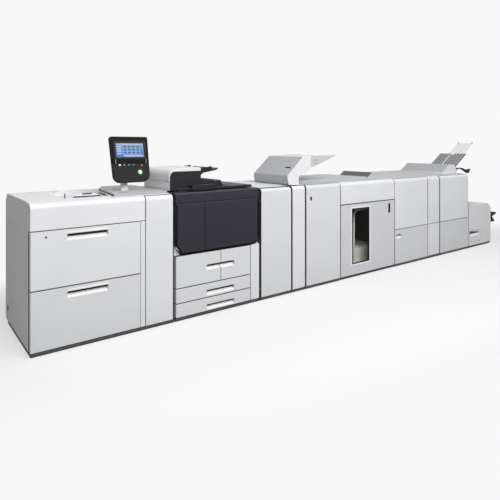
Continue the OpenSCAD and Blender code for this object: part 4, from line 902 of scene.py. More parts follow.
@dataclass
class SubAssembly:
    """One part of the line; made counts its finished pieces."""

    made: int = field(default=0, init=False)

    def add(self, work: Work, finish: Moulded, body: str = "line") -> Work:
        """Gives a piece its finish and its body.

        Args:
            work: The shaped piece.
            finish: Its finish.
            body: The body that it rides on, unless a CAD node says so.

        Returns:
            The piece.
        """
        piece, node = work.piece, work.node
        work.focus()
        bpy.ops.object.shade_smooth_by_angle(angle=SMOOTH_ANGLE)
        even = piece.modifiers.new("even_normals", "WEIGHTED_NORMAL")
        even.keep_sharp = True
        bpy.ops.object.modifier_apply(modifier=even.name)
        piece.data.materials.clear()
        piece.data.materials.append(finish.material())
        body = frame["nodes"][node]["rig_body"] if node else body
        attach(piece, body)
        if node:
            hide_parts(node)
        self.made += 1
        log.info("%s: %s on %s", type(self).__name__, piece.name, body)
        return work

    def soften(self, node: str, finish: Moulded, width: float = 2.0,
               segments: int = 2) -> Work:
        """Replaces a CAD node by a copy with eased edges."""
        return self.add(Work.twin(node).ease(width, segments), finish)

    def dress(self, node: str, finish: Moulded) -> None:
        """Gives a CAD node that stays as it is its finish.

        Args:
            node: The CAD node.
            finish: Its finish.
        """
        mesh = frame["nodes"][node].data
        mesh.materials.clear()
        mesh.materials.append(finish.material())
        log.info("%s: %s keeps its shape", type(self).__name__, node)

    def plate(self, name: str, low: Triple, high: Triple, width: float,
              step: tuple[Vector, float, float], finish: Moulded,
              body: str = "line") -> None:
        """Adds an eased block with one face stepped."""
        self.add(Work.block(name, low, high, width).step(*step), finish, body)

    def front(self, node: str, finish: Moulded = WHITE, width: float = 4.0,
              rims: Rims = Rims.ALL, grip: Optional[Grip] = None,
              rim: Moulded = SEAM, corner: Optional[Test] = None) -> Work:
        """Replaces a door or drawer by an eased copy with painted shade on its rims.

        Args:
            node: The CAD node.
            finish: The finish of its face.
            width: Width of the rounding.
            rims: Which rims get painted shade.
            grip: Its handle recess, if it has one.
            rim: The finish of the painted shade on the rims.
            corner: A test for the upright corners that are widely rounded.

        Returns:
            The copy.
        """
        work = Work.twin(node)
        if corner:
            work.ease(24.0, 5, corner)
        self.add(work.ease(width, 3), finish)
        low, high = ((Vector(end) - CORNER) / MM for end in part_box(node))
        sides = {"L": (0, -1, low), "R": (0, 1, high),
                 "B": (2, -1, low), "T": (2, 1, high)}
        dark = [sides[letter] for letter in rims.value]
        # Painted shade on the chosen rims, standing in for the dark gaps between
        # fronts.
        work.paint(rim, lambda face, spot: spot.y < DOOR_T + 1 and any(
            face.normal[axis] * way > LEANING and abs(spot[axis] - edge[axis]) < width
            for axis, way, edge in dark))
        # Painted shade on the recess's upper part and a painted highlight on its scoop.
        if grip:
            work.slit(grip.top - grip.shade, grip.is_back)
            work.paint(BLACK_AND_SHADE, grip.is_shaded).paint(WHITE_AND_HIGHLIGHT, grip.is_scoop)
        return work

    def back_plates(self, name: str, left: float, right: float,
                    spans: Sequence[Span] = ((60, 510), (700, 900)),
                    back: float = BACK_Y) -> None:
        """Adds the pressed service plates on a module's back, with screws.

        Args:
            name: The module's name.
            left: Its left side.
            right: Its right side.
            spans: Heights where each plate starts and ends.
            back: The back's depth.
        """
        x0, x1 = left + 22, right - 22
        plates = [Work.block("plate", (x0, back - 0.5, z0), (x1, back + 1.6, z1), 0.7)
                  .step(BACK, 22.0, -0.9)
                  .step(BACK, 8.0, 0.9, lambda face, spot: spot.y < back + 1.2
                        and face.calc_area() > 0.004) for z0, z1 in spans]
        heads = [Work.bolt("head", (x, back + 1.5, z), BACK, 5.0, 1.6)
                 for z0, z1 in spans
                 for x in (x0 + 11, x1 - 11) for z in (z0 + 11, z1 - 11)]
        self.add(Work.join(name + "_back_plates", plates), WHITE)
        self.add(Work.join(name + "_back_screws", heads), STEEL)


@dataclass
class Module(SubAssembly):
    """Module with a cabinet and doors.

    Fields: name starts its nodes' names; left and right are its sides; hinges
    are the places of its hinge arms, painted dark as painted shade, and hinge_z
    the height where they start; hollows are the boxes behind its doors, painted
    dark as painted shade in hollow_shade.
    """

    name: str = ""
    left: float = 0.0
    right: float = 0.0
    hinges: tuple[float, ...] = ()
    hinge_z: float = 3.0
    hinge_half: float = 16.0
    hollows: tuple[Box, ...] = ()
    hollow_shade: str = WHITE.hollow_shade

    def cabinet(self, width: float = 3.0) -> Work:
        """Replaces the cabinet by a copy with painted shade behind the doors' seams.

        Args:
            width: Width of the rounding.

        Returns:
            The copy.
        """
        # Painted shade: the boxes behind the doors and the hinge arms in the gaps are
        # painted dark.
        narrow = (((self.left, SHELL_Y, 3), (self.right, SKIN_Y, DOORS_TOP)),
                  ((self.left + WALL, SHELL_Y, WALL), (self.right - WALL, 220, 960)))
        shell = replace(WHITE, name=self.name + "_shell_paint",
                        hollows=self.hollows or narrow,
                        hollow_shade=self.hollow_shade)
        return self.soften(self.name + "_cabinet", shell, width).paint(
            SEAM, lambda face, spot: spot.y < SHELL_Y + 0.5
            and self.hinge_z < spot.z < DOORS_TOP - 2
            and any(abs(spot.x - place) < self.hinge_half for place in self.hinges))


@dataclass
class Feeder(Module):
    """Paper feeder with two drawers, a bypass tray and the column beside it."""

    name: str = "feeder"
    right: float = 802.0
    column_right: float = 1037.0
    hinges: tuple[float, ...] = (1021.0,)
    hollows: tuple[Box, ...] = (
        ((-5, SHELL_Y, 3), (1042, SKIN_Y, 976)),
        ((WALL, SHELL_Y, WALL), (746, 740, 776)),
        ((820, SHELL_Y, WALL), (1019, 200, 940)))
    grip_left: float = 236.0
    grip_right: float = 518.0
    grip_tops: Span = (367.0, 758.0)
    housing_z: float = 986.0
    cover_foot: float = 801.0
    guide_shadow_band: Span = (975.0, 992.0)
    roller: Triple = (652.0, 330.0, 972.0)
    tyre_ys: Triple = (240.0, 330.0, 420.0)
    slant: tuple[Triple, Triple] = ((586.0, 70.0, 985.0), (655.0, 592.0, 985.0))
    ream: Triple = (430.0, 300.0, 60.0)
    ream_zs: Span = (52.0, 437.0)

    def build(self) -> None:
        """Builds the pieces in order."""
        self.cabinet(2.0)
        cover = self.soften("feeder_top_cover", WHITE_TOP, 4.0, 3)
        cover.paint(HOUSING, lambda face, spot: spot.z > self.housing_z)
        # Painted shade on the cover's lower rim over the drawers and its right rim by
        # the column.
        cover.paint(SEAM, lambda face, spot: face.normal.z < -LEANING
                    and spot.y < DOOR_T + 2 and spot.z < self.cover_foot)
        cover.paint(SEAM, lambda face, spot: face.normal.x > LEANING
                    and -4 < spot.x - self.right < 1 and spot.y < DOOR_T + 2)
        low, high = (Grip(self.grip_left, self.grip_right, top)
                     for top in self.grip_tops)
        self.front("feeder_lower_drawer", SHADED_PANEL, rims=Rims.RIGHT_TOP, grip=low)
        self.front("feeder_upper_drawer", rims=Rims.NOT_LEFT, grip=high)
        self.front("column_door")
        self.bypass()
        self.fittings()
        self.feed_rollers()
        self.back_plates("feeder", self.left, self.right)
        self.back_plates("column", self.right, self.column_right)

    def bypass(self) -> None:
        """Dresses the two guides and adds the dark grip and stop."""
        front = self.soften("bypass_front_guide", WHITE_AND_HIGHLIGHT, 1.0)
        # Painted shadow: a dark band across the front guide's face, near its foot.
        foot, head = self.guide_shadow_band
        front.slit(head, lambda face, spot: face.normal.y < -SQUARE)
        front.paint(BLACK_AND_SHADE, lambda face, spot: face.normal.y < -SQUARE
                    and foot < spot.z < head)
        self.soften("bypass_rear_guide", WHITE_TOP, 1.0)
        self.plate("bypass_guide_grip", (385, 153, 1002.4), (452, 165, 1011), 2.0,
                   (UP, 3.0, -1.5), BLACK_AND_SHADE, "bypass_front_guide")
        self.plate("bypass_size_stop", (260, 158, 958), (266, 168, 1016), 1.5,
                   (UP, 1.5, 2.0), BLACK_AND_SHADE)

    def fittings(self) -> None:
        """Adds lips, a slanting painted shadow, the side's catch, lamp and reams."""
        drawers = ("lower", "upper")
        # The lips are the brighter white, partly a painted highlight above the
        # recesses.
        for name, top in zip(drawers, self.grip_tops):
            self.plate(name + "_drawer_grip_lip", (self.grip_left - 2, -1.6, top + 0.6),
                       (self.grip_right + 2, 0.6, top + 15), 0.8, (FRONT, 3.0, 0.5),
                       WHITE_AND_HIGHLIGHT, f"feeder_{name}_drawer")
        # Painted shadow: a dark strip along the housing's slanting left edge, where its
        # shadow falls.
        foot, head = self.slant
        run = Vector(head) - Vector(foot)
        edge_shadow = Work.block("housing_edge_seal", (3, -0.5, 0.3),
                          (run.length - 6, 2.2, 12), 0.6).step(BACK, 1.5, 0.4)
        self.add(edge_shadow.settle(tilted(foot, atan2(run.y, run.x), "Z")), BLACK_AND_SHADE)
        self.plate("side_catch", (-2.5, 728, 84), (0.6, 752, 120), 1.2,
                   (LEFT, 5.0, -1.4), DEEP_BLACK_AND_SHADOW)
        self.plate("side_catch_bar", (-1.2, 590, 172), (0.4, 650, 178), 0.5,
                   (LEFT, 1.2, 0.5), MID)
        # Painted shade: a dark plinth strip under the left side.
        self.plate("side_plinth_strip", (5, 20, -27.4), (16, 776, -3.4), 1.0,
                   (LEFT, 2.0, -0.8), SHADED_PLINTH)
        lens = Work.bolt("drawer_lamp_lens", (98, 0, 750), FRONT, 6.5, 1.4)
        self.add(lens, LENS, "feeder_upper_drawer")
        across, deep, high = self.ream
        for name, floor in zip(drawers, self.ream_zs):
            ream = Work.block(name + "_drawer_ream", (170, 120, floor),
                              (170 + across, 120 + deep, floor + high), 0.6)
            self.add(ream, REAM, f"feeder_{name}_drawer")

    def feed_rollers(self) -> None:
        """Adds the pick-up rollers in the mouth of the bypass tray."""
        shaft = Work.bar("bypass_roller_shaft", self.roller, FRONT, 300.0, 3.0)
        self.add(shaft.ease(0.6), STEEL)
        x, _, z = self.roller
        tyres = [Work.bar("tyre", (x, y, z), FRONT, 26.0, 8.0)
                 .step(FRONT, 2.0, -1.5).ease(0.8) for y in self.tyre_ys]
        self.add(Work.join("bypass_roller_tyres", tyres), RUBBER)


@dataclass
class ControlPanel(SubAssembly):
    """Swivelling control panel with its screen and keys; local is its frame."""

    screen_half: float = 119.0
    screen_foot: float = 195.0
    screen_head: float = 313.0
    bezel: float = 13.0
    stand_out: float = 2.4
    dim_keys_from: float = 706.0
    core: float = 2.0
    pivot: Triple = (740.0, 262.0, 1078.3)
    shift: Triple = (44.0, -72.0, -21.0)
    tilt: float = -13.0
    local: Matrix = field(default_factory=Matrix, init=False)

    def build(self) -> None:
        """Builds the pieces in order."""
        self.local = (Matrix.Translation(at(*self.pivot))
                      @ Matrix.Rotation(radians(self.tilt), 4, "X")
                      @ Matrix.Translation(Vector(self.shift) * MM))
        self.soften("screen_post", COVER)
        self.soften("screen_swivel", SHADE_GREY, 1.0)
        collar = Work.bar("screen_collar", (740, 262, 1058.2), UP, 12.0, 28.0, 48)
        self.add(collar.step(UP, 6.0, 2.5).ease(2.0, 3), COVER, "screen_swivel")
        self.soften("control_panel", TwoTone(
            "panel_two_tone_plastic", Slot.BLACK, "08080a", gloss=0.06,
            local=self.local), 3.0, 3)
        self.dress("touch_screen", LitScreen(
            "lit_touch_screen", Slot.SCREEN, "10151f", gloss=0.12, local=self.local,
            width=self.screen_half * 2 * MM, foot=self.screen_foot * MM,
            height=(self.screen_head - self.screen_foot) * MM))
        self.key("start_key", GREEN, 6.5, WHITE_KEY)
        self.key("stop_key", RED, 2.5, RED)
        self.soften("menu_keys", WHITE_KEY, 0.6).paint(
            DIM_KEY, lambda face, spot: spot.x > self.dim_keys_from)
        self.covers()

    def key(self, node: str, finish: Moulded, border: float,
            middle: Moulded) -> None:
        """Replaces a round key by a copy with a sunk middle.

        Args:
            node: The CAD node.
            finish: The finish of its ring.
            border: Width of the ring.
            middle: The finish inside the ring.
        """
        way = self.local.to_3x3() @ FRONT
        key = self.add(Work.twin(node).step(way, border, -0.8).ease(0.8), finish)
        low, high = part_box(node)
        heart = ((Vector(low) + Vector(high)) / 2 - CORNER) / MM
        key.paint(middle, lambda face, spot: face.normal.dot(way) > SQUARE
                  and (spot - heart).cross(way).length < self.core)

    def covers(self) -> None:
        """Adds the screen's glossy frame, two bright strips and the back cover."""
        half, edge = self.screen_half, self.bezel
        ring = Work.ring(
            "screen_bezel", (-half - edge, -self.stand_out, self.screen_foot - edge),
            (half + edge, 0.4, self.screen_head + edge), edge, 0.9)
        strips = Work.join("panel_side_strips", [
            Work.block("strip", (x - 2, -1.6, 146), (x + 2, 0.3, 180), 0.6)
            for x in (-half - 6, half + 6)])
        cover = Work.block("panel_back_cover", (-110, 39.5, 60), (110, 47, 320), 2.5)
        cover.step(BACK, 16.0, -2.0, lambda face, spot: face.calc_area() > 0.01)
        for work, finish in ((ring, GLOSS_BLACK), (strips, MID), (cover, BLACK_SOFT)):
            work.settle(self.local @ Matrix.Translation(-CORNER))
            self.add(work, finish, "control_panel")


@dataclass
class Printer(Module):
    """Print engine with its doors, trays, scanner and document feeder.

    Fields: plate_z is the scanner glass's height; the document feeder's left
    end, painted bright as painted light, lies left of end_right and above
    end_foot; seals gives the start across and up, the turn in degrees
    and the length of each black painted shadow strip at the doors' edges.
    """

    name: str = "printer"
    left: float = 1057.0
    right: float = 1891.0
    hinges: tuple[float, ...] = (1073.0, 1872.0)
    hinge_z: float = 575.0
    hollows: tuple[Box, ...] = (((1058.5, SHELL_Y, 3), (1889.5, SKIN_Y, 889)),
                                ((1075, SHELL_Y, WALL), (1873, 800, 870)))
    plate_z: float = 991.0
    end_right: float = 1110.0
    end_foot: float = 1012.0
    lever_xs: Triple = (1290.0, 1560.0, 1790.0)
    grips: tuple[Grip, ...] = (Grip(1343, 1479.5, 380), Grip(1482.5, 1619, 380),
                               Grip(1343, 1619, 172), Grip(1343, 1619, 54))
    seals: tuple[tuple[str, float, float, float, float], ...] = (
        ("left", 1073.5, 562, -90, 328), ("left", 1063, 563.5, 53.13, 86),
        ("left", 1113, 492.5, 0, 205), ("right", 1326.5, 492.5, 0, 486),
        ("right", 1818, 489.5, -25.3, 56), ("right", 1884, 532, -90, 354))

    def build(self) -> None:
        """Builds the pieces in order."""
        self.cabinet(2.0)
        self.front("left_front_door", BLACK, rims=Rims.NOT_BOTTOM, corner=self.is_cut)
        self.front("right_front_door", BLACK, rims=Rims.NOT_BOTTOM)
        self.door_trim()
        self.soften("scanner_base", BLACK, 3.0, 3)
        self.dress("platen_glass", GLASS)
        self.document_feeder()
        for number, grip in enumerate(self.grips, 1):
            self.front(f"paper_tray_{number}", SHADED_PANEL, 2.5,
                       Rims.ALL if number == 2 else Rims.NOT_LEFT, grip)
        self.soften("drum_unit", FRAME_GREY)
        self.soften("fuser_unit", FRAME_GREY)
        levers = [Work.block("lever", (x, 50, 594), (x + 16, 58.5, 640), 2.0)
                  .step(FRONT, 3.0, -1.2) for x in self.lever_xs]
        self.add(Work.join("release_levers", levers), GREEN)
        self.back_plates("printer", self.left, self.right)
        self.add(Work.ring("power_inlet_frame", (1141, BACK_Y - 0.4, 114),
                           (1183, BACK_Y + 1.6, 150), 5.0, 0.5), BLACK_SOFT)

    def document_feeder(self) -> None:
        """Dresses the document feeder and adds its white pad."""
        # Painted light: the feeder's left-facing end is painted bright white, as if
        # lit.
        self.soften("document_feeder", BLACK_SOFT, 3.0).paint(
            WHITE_AND_HIGHLIGHT, lambda face, spot: face.normal.x < -STEEP
            and spot.x < self.end_right and spot.z > self.end_foot)
        self.soften("document_feeder_cover", WHITE_TOP, 3.0, 3)
        self.soften("document_tray", BLACK_SOFT)
        self.soften("document_front_guide", BLACK_SOFT, 1.0)
        self.soften("document_rear_guide", BLACK_SOFT, 1.0)
        self.plate("platen_pad", (1150, 110, self.plate_z - 4.6),
                   (1640, 480, self.plate_z + 0.4), 1.0, (DOWN, 8.0, 0.8), SHEET,
                   "document_feeder")

    @staticmethod
    def is_cut(edge: Edge, spot: Vector) -> bool:
        """Says whether an edge ends the left door's cut lower corner."""
        return (abs(spot.y - DOOR_T / 2) < 3 and spot.z < 570
                and (spot.x < 1062 or abs(spot.z - 491.5) < 2 and spot.x < 1130))

    def door_trim(self) -> None:
        """Adds the doors' painted shadow strips and the white corner at the cut."""
        # Painted shadow: near-black strips along the black doors' edges, standing in
        # for deep shade in the gaps.
        for side in ("left", "right"):
            strips = [Work.block("strip", (0, -0.9, 0), (length, 0.6, 12), 0.4)
                      .step(FRONT, 1.5, 0.3).settle(tilted((x, 0, z), radians(turn)))
                      for door, x, z, turn, length in self.seals if door == side]
            self.add(Work.join(side + "_front_door_seal", strips), DEEP_BLACK_AND_SHADOW,
                     side + "_front_door")
        # The corner trim is the brighter white, partly a painted highlight along the
        # cut.
        trim = Work.block("door_corner_trim", (1062, 1.5, 492), (1113, 20, 562))
        for height, outer in ((563.5, True), (553.0, False)):
            trim.shape(anywhere, lambda: bpy.ops.mesh.bisect(
                plane_co=at(1060, 0, height), plane_no=(72, 0, 54), use_fill=True,
                clear_outer=outer, clear_inner=not outer))
        self.add(trim.ease(1.2), WHITE_AND_HIGHLIGHT, "left_front_door")


@dataclass
class Decurler(Module):
    """Narrow module that flattens the sheets."""

    name: str = "decurler"
    left: float = 1911.0
    right: float = 2273.0
    hinges: tuple[float, ...] = (1927.0,)

    def build(self) -> None:
        """Builds the pieces in order."""
        self.cabinet()
        self.front("decurler_door", SHADED_PANEL)
        self.back_plates(self.name, self.left, self.right)


@dataclass
class Inserter(Module):
    """Sheet inserter with its sloping head and tray.

    Fields: slot_deep is how much deeper the head's hand slot gets, and
    slot_face, in square metres, is more than any of its faces.
    """

    name: str = "inserter"
    left: float = 2285.0
    right: float = 2453.0
    hinges: tuple[float, ...] = (2301.0,)
    slot_deep: float = 39.0
    slot: Box = ((2290.0, 68.0, 1090.0), (2420.0, 184.0, 1215.0))
    slot_face: float = 0.0025
    tray_ys: Span = (45.0, 517.0)
    tray_foot: Triple = (2553.0, 0.0, 1158.0)
    tray_slope: float = -16.0

    def build(self) -> None:
        """Builds the pieces in order."""
        self.cabinet()
        self.front("inserter_door")
        head = Work.twin("inserter_head").shape(
            self.is_slot, lambda: bpy.ops.transform.translate(
                value=FRONT * self.slot_deep * MM))
        self.add(head.ease(3.0), WHITE_TOP)
        # Painted shade on the head's left-facing slopes.
        head.paint(SHADED_SIDE_GREY, lambda face, spot: face.normal.x < -SLOPING
                   and spot.x < self.right - 3)
        # Painted shade inside the head's hand slot.
        head.paint(SEAM, self.is_slot)
        self.soften("inserter_tray", SHADE_GREY, 1.5).paint(
            TOP_GREY, lambda face, spot: face.normal.z > STEEP
            and self.tray_ys[0] < spot.y < self.tray_ys[1])
        self.tray_trim()
        self.back_plates(self.name, self.left, self.right)

    def is_slot(self, face: Face, spot: Vector) -> bool:
        """Says whether a face lies inside the hand slot of the head."""
        return within(*self.slot)(face, spot) and face.calc_area() < self.slot_face

    def tray_trim(self) -> None:
        """Adds the sloping tray's dark side guides and the frame on its cheek."""
        parts = []
        for y in (150.0, 400.0):
            wall = Work.block("guide", (22, y, 2), (150, y + 7, 34), 1.5)
            foot = Work.block("foot", (22, y - 16, 1), (150, y + 23, 4), 0.8)
            parts.extend((wall.step(UP, 2.0, 1.5), foot))
        guides = Work.join("inserter_side_guides", parts)
        slope = tilted(self.tray_foot, radians(self.tray_slope))
        self.add(guides.settle(slope), BLACK_SOFT)
        cheek = (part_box("inserter_tray")[0][1] - CORNER.y) / MM
        self.add(Work.ring("inserter_tray_pocket", (2600, cheek - 1.4, 1180),
                           (2646, cheek + 0.4, 1222), 6.0, 0.5), MID)


@dataclass
class Stacker(Module):
    """High capacity stacker with its cart.

    Fields: hump_x is where the cover's hump starts, whose left face gets painted
    shade; window gives the window's ends across and up; axle_ys and axle_z place
    the cart's axles.
    """

    name: str = "stacker"
    left: float = 2465.0
    right: float = 3855.0
    bay_left: float = 2950.0
    hinges: tuple[float, ...] = (2934.0,)
    hollows: tuple[Box, ...] = (
        ((2466, SHELL_Y, 3), (2950, SKIN_Y, DOORS_TOP)),
        ((2484, SHELL_Y, WALL), (2932, 220, 960)),
        ((2950, SHELL_Y, -5), (3854, 820, 744)), ((2950, -5, 740), (3854, 60, 750.5)))
    # Painted shade inside the cart bay, lighter than behind the other doors.
    hollow_shade: str = "6a6a67"
    hump_x: float = 3540.0
    hump_lean: float = 0.2
    window: tuple[float, float, float, float] = (3126.0, 112.0, 3412.0, 697.0)
    wheel_xs: Span = (3353.0, 3669.0)
    axle_ys: Span = (208.0, 568.0)
    axle_z: float = 6.0

    def build(self) -> None:
        """Builds the pieces in order."""
        self.cabinet().paint(PLATE_GREY, lambda face, spot: is_top(face, spot)
                             and spot.x > self.bay_left)
        cover = self.soften("stacker_top_cover", TOP_GREY, 3.0)
        cover.paint(WHITE_TOP, lambda face, spot: spot.x > self.hump_x)
        # Painted shade on the hump's left face.
        cover.paint(SHADED_HUMP_GREY, lambda face, spot: face.normal.x < -self.hump_lean
                    and spot.x > self.hump_x)
        self.front("stacker_left_door", SHADED_PANEL, rim=SOFT_SEAM_SHADOW).paint(
            DEEP_BLACK_AND_SHADOW, within((2518, 0.5, 822), (2544, 5, 864)))
        self.front("cart_door", SHADED_CART_DOOR, rims=Rims.NOT_LEFT).paint(
            BLACK_AND_SHADE, within((3748, 0.5, 612), (3772, 41, 700)))
        self.plate("stacker_latch_button", (2520, -1.6, 825), (2542, 0.6, 861), 1.0,
                   (FRONT, 3.0, -0.8), DEEP_BLACK_AND_SHADOW, "stacker_left_door")
        self.add(Work.ring("cart_door_pull_frame", (3743, -1.6, 604),
                           (3777, 0.5, 708), 8.0, 0.7), BLACK_AND_SHADE, "cart_door")
        self.dress("cart_window", SMOKED)
        self.window_trim()
        # Painted light: the cart and its handle tube are near white, to read as lit in
        # the bay.
        self.soften("stacker_cart", LIT_TUB_WHITE, 1.5)
        self.soften("cart_front_wheels", RUBBER, 1.5)
        self.soften("cart_rear_wheels", RUBBER, 1.5)
        self.soften("stack_platform", SHADE_GREY, 1.0)
        for axle, y in zip(("front", "rear"), self.axle_ys):
            caps = [Work.bolt("cap", (x + way.x * 12, y, self.axle_z), way, 20.0, 0.7)
                    for x, way in zip(self.wheel_xs, (LEFT, RIGHT))]
            self.add(Work.join(axle + "_wheel_caps", caps), MID, f"cart_{axle}_wheels")
        middle = (self.left + self.right) / 2
        self.back_plates("stacker", self.left, middle - 20)
        self.back_plates("stacker_bay", middle + 20, self.right)

    def window_trim(self) -> None:
        """Adds the window's black gasket and white frame, and the door's lip."""
        x0, z0, x1, z1 = self.window
        self.add(Work.ring("window_gasket", (x0 + 0.6, -0.8, z0 + 0.6),
                           (x1 - 0.6, 19, z1 - 0.6), 8.0, 0.8), BLACK_SOFT, "cart_door")
        self.add(Work.ring("window_surround", (x0 - 16, -1.8, z0 - 16),
                           (x1 + 16, 0.4, z1 + 16), 15.5, 1.0), WHITE_AND_HIGHLIGHT, "cart_door")
        self.plate("cart_door_lip", (2966, 6, -23), (3848, 26, 0.4), 2.0,
                   (FRONT, 2.0, -1.0), RUBBER, "cart_door")


@dataclass
class Finisher(Module):
    """Finisher with its two doors."""

    name: str = "finisher"
    left: float = 3867.0
    right: float = 4521.0
    hinges: tuple[float, ...] = (4505.0,)

    def build(self) -> None:
        """Builds the pieces in order."""
        self.cabinet(2.0).paint(PLATE_GREY, is_top)
        self.front("finisher_upper_door", rims=Rims.NOT_LEFT, rim=SOFT_SEAM_SHADOW)
        self.front("finisher_lower_door", DEEPER_SHADED_PANEL, rims=Rims.NOT_LEFT,
                   grip=Grip(3899, 3995, 336), rim=SOFT_SEAM_SHADOW)
        self.back_plates(self.name, self.left, self.right)


@dataclass
class BookletMaker(Module):
    """Folder and booklet maker with the output tray on top."""

    name: str = "booklet"
    left: float = 4797.0
    right: float = 5487.0
    hinges: tuple[float, ...] = (5471.0,)
    folder: Span = (4533.0, 4785.0)
    head_foot: float = 1010.0
    tray_end: float = 5660.0
    tray_foot: Triple = (5363.0, 146.0, 1031.0)
    tray_slope: float = -31.7

    def build(self) -> None:
        """Builds the pieces in order."""
        self.soften("folder_cabinet", WHITE, 3.0).paint(PLATE_GREY, is_top)
        left, right = self.folder
        self.plate("folder_joint_seal", (left + 5, -0.5, 393), (right - 5, 1, 397),
                   0.4, (FRONT, 0.8, -0.3), SOFT_SEAM_SHADOW)
        # Painted shade on the booklet maker's upper left-facing faces.
        self.cabinet().paint(PLATE_GREY, is_top).paint(
            SHADED_SIDE_GREY, lambda face, spot: face.normal.x < -SLOPING
            and spot.z > self.head_foot)
        self.front("booklet_upper_door", rim=SOFT_SEAM_SHADOW)
        self.front("booklet_lower_door", DEEPER_SHADED_PANEL, rim=SOFT_SEAM_SHADOW)
        self.soften("output_tray", TRAY_GREY, 1.0).paint(
            BLACK_AND_SHADE, lambda face, spot: face.normal.y < -SQUARE
            or face.normal.x > STEEP and spot.x > self.tray_end)
        self.soften("tray_extension", CLEAR_TRAY, 0.6)
        self.soften("output_arm", BLACK_SOFT, 1.0)
        slope = tilted(self.tray_foot, radians(self.tray_slope))
        strip = Work.block("output_tray_strip", (90, 204, 9.8), (356, 222, 15.6), 1.2)
        self.add(strip.step(UP, 3.0, -0.8).settle(slope), COVER)
        tips = [Work.block("tip", (684, y, 6), (702, y + 16, 14), 2.0)
                .step(UP, 3.0, 1.0) for y in (34, 240)]
        stops = Work.join("extension_corner_stops", tips)
        self.add(stops.settle(slope), MID, "tray_extension")
        self.back_plates("folder", left, right)
        self.back_plates(self.name, self.left, self.right)


@dataclass
class Trimmer(Module):
    """Edge trimmer with its lid, waste bin and exit tray."""

    name: str = "trimmer"
    left: float = 5507.0
    right: float = 6108.0
    back: float = 760.0

    def build(self) -> None:
        """Builds the pieces in order."""
        self.soften("trimmer_cabinet", TRIM_GREY, 3.0)
        self.soften("trimmer_cover", TRIM_GREY, 3.0)
        self.front("trim_waste_bin", TRIM_GREY, 2.0, grip=Grip(5544, 5784, 174),
                   rim=SOFT_SEAM_SHADOW)
        self.soften("trimmer_exit_tray", BLACK_SOFT)
        self.back_plates(self.name, self.left, self.right, ((60, 420),), self.back)


@dataclass
class Underframe(SubAssembly):
    """Base frames, pads under their front feet, and plinth strips in painted shade."""

    modules: tuple[Span, ...] = (
        (0.0, 1037.0), (1057.0, 1891.0), (1911.0, 2273.0), (2285.0, 2453.0),
        (2465.0, 2950.0), (3867.0, 4521.0), (4533.0, 4785.0), (4797.0, 5487.0),
        (5507.0, 6108.0))
    foot_in: float = 60.0
    foot_y: float = 78.0
    floor_z: float = -28.0

    def build(self) -> None:
        """Builds the pieces in order."""
        self.soften("base_frames", FRAME_GREY, 1.5)
        pads = [Work.bolt("pad", (x, self.foot_y, self.floor_z), UP, 24.0, 5.0)
                for left, right in self.modules
                for x in (left + self.foot_in, right - self.foot_in)]
        self.add(Work.join("front_foot_pads", pads), RUBBER)
        # Plinth strips in painted shade under the fronts.
        strips = [Work.block("strip", (max(left - 7, 4), 9, -27.4),
                             (min(right + 7, 6080), 20, -3.4), 1.0)
                  .step(FRONT, 2.0, -0.8) for left, right in self.modules]
        self.add(Work.join("front_plinth_strips", strips), SHADED_PLINTH)


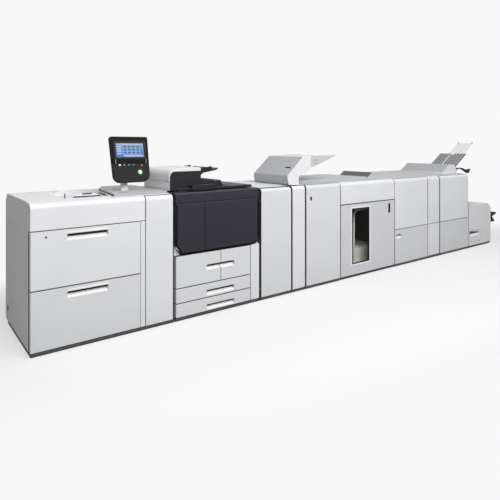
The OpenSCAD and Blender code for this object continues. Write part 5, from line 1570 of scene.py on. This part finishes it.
@dataclass
class Studio:
    """Camera, floor, sky and lamp.

    Fields: eye is the camera's place, turn its heading in degrees, lens its
    focal length and drop its shift; lamp_aim is what the lamp points at.
    """

    eye: Triple = (-3.8445, -3.701, 1.378)
    turn: float = -37.1
    lens: float = 33.80
    drop: float = -0.207
    floor_size: float = 120.0
    floor_lit: float = 0.36
    floor_shown: float = 0.86
    white: float = 0.94
    lamp_place: Triple = (-1.25, -4.4, 4.5)
    lamp_aim: Triple = (-0.4, 0.0, 0.6)
    lamp_size: Span = (8.2, 2.6)
    lamp_power: float = 385.0
    sky: float = 0.34

    def camera(self) -> None:
        """Adds the camera at the photograph's angle."""
        bpy.ops.object.camera_add(
            location=self.eye, rotation=(radians(90), 0, radians(self.turn)))
        camera = bpy.context.active_object
        camera.name = "studio_camera"
        camera.data.lens = self.lens
        camera.data.sensor_width = 36.0
        camera.data.shift_y = self.drop
        camera.data.clip_end = 200.0
        bpy.context.scene.camera = camera

    def floor(self) -> None:
        """Adds the pale floor, which runs into the white background."""
        clear_all()
        bpy.ops.mesh.primitive_plane_add(size=self.floor_size)
        floor = bpy.context.active_object
        floor.name = "studio_floor"
        graph = Graph(bpy.data.materials.new("studio_floor_paint"))
        across, deep, _ = graph.parts(graph.point)
        far = (across * across / 16.0 + deep * deep / 3.2).ramp(0.75, 1.6)
        seen = graph.node("LightPath", out="Is Camera Ray")
        lit, shown = (linear("ffffff", share)
                      for share in (self.floor_lit, self.floor_shown))
        diffuse = graph.node("BsdfDiffuse", {"Color": graph.mix(lit, shown, seen)})
        white = graph.node("Emission", {
            "Color": linear("ffffff", self.white), "Strength": 1.0})
        graph.close(graph.node("MixShader", {
            0: seen * (far * 0.5 + 0.5), 1: diffuse, 2: white}))
        floor.data.materials.append(graph.owner)

    def light(self) -> None:
        """Adds the soft lamp and the plain sky."""
        way = Vector(self.lamp_place) - Vector(self.lamp_aim)
        bpy.ops.object.light_add(
            type="AREA", location=self.lamp_place,
            rotation=way.to_track_quat("Z", "Y").to_euler())
        lamp = bpy.context.active_object
        lamp.name = "studio_lamp"
        lamp.data.shape = "RECTANGLE"
        lamp.data.size, lamp.data.size_y = self.lamp_size
        lamp.data.energy = self.lamp_power
        world = bpy.data.worlds.new("studio_sky")
        bpy.context.scene.world = world
        graph = Graph(world, "OutputWorld")
        seen = graph.node("LightPath", out="Is Camera Ray")
        share = seen | seen.beside("Is Glossy Ray") | seen.beside("Is Transmission Ray")
        plain, white = (graph.node("Background", {
            "Color": (1, 1, 1, 1), "Strength": strength})
            for strength in (self.sky, self.white))
        graph.close(graph.node("MixShader", {0: share, 1: plain, 2: white}))

    def build(self) -> None:
        """Adds everything in order."""
        self.camera()
        self.floor()
        self.light()
        bpy.context.scene.view_settings.view_transform = "Standard"
        log.info("Studio: camera, floor, lamp and sky")


def main() -> None:
    """Builds the line module by module."""
    logging.basicConfig(level=logging.INFO, format="%(name)s: %(message)s")
    Studio().build()
    for module in (Feeder(), ControlPanel(), Printer(), Decurler(), Inserter(),
                   Stacker(), Finisher(), BookletMaker(), Trimmer(),
                   Underframe()):
        module.build()
        log.info("%s: %d pieces", type(module).__name__, module.made)
    clear_all()


if __name__ == "__main__":
    main()
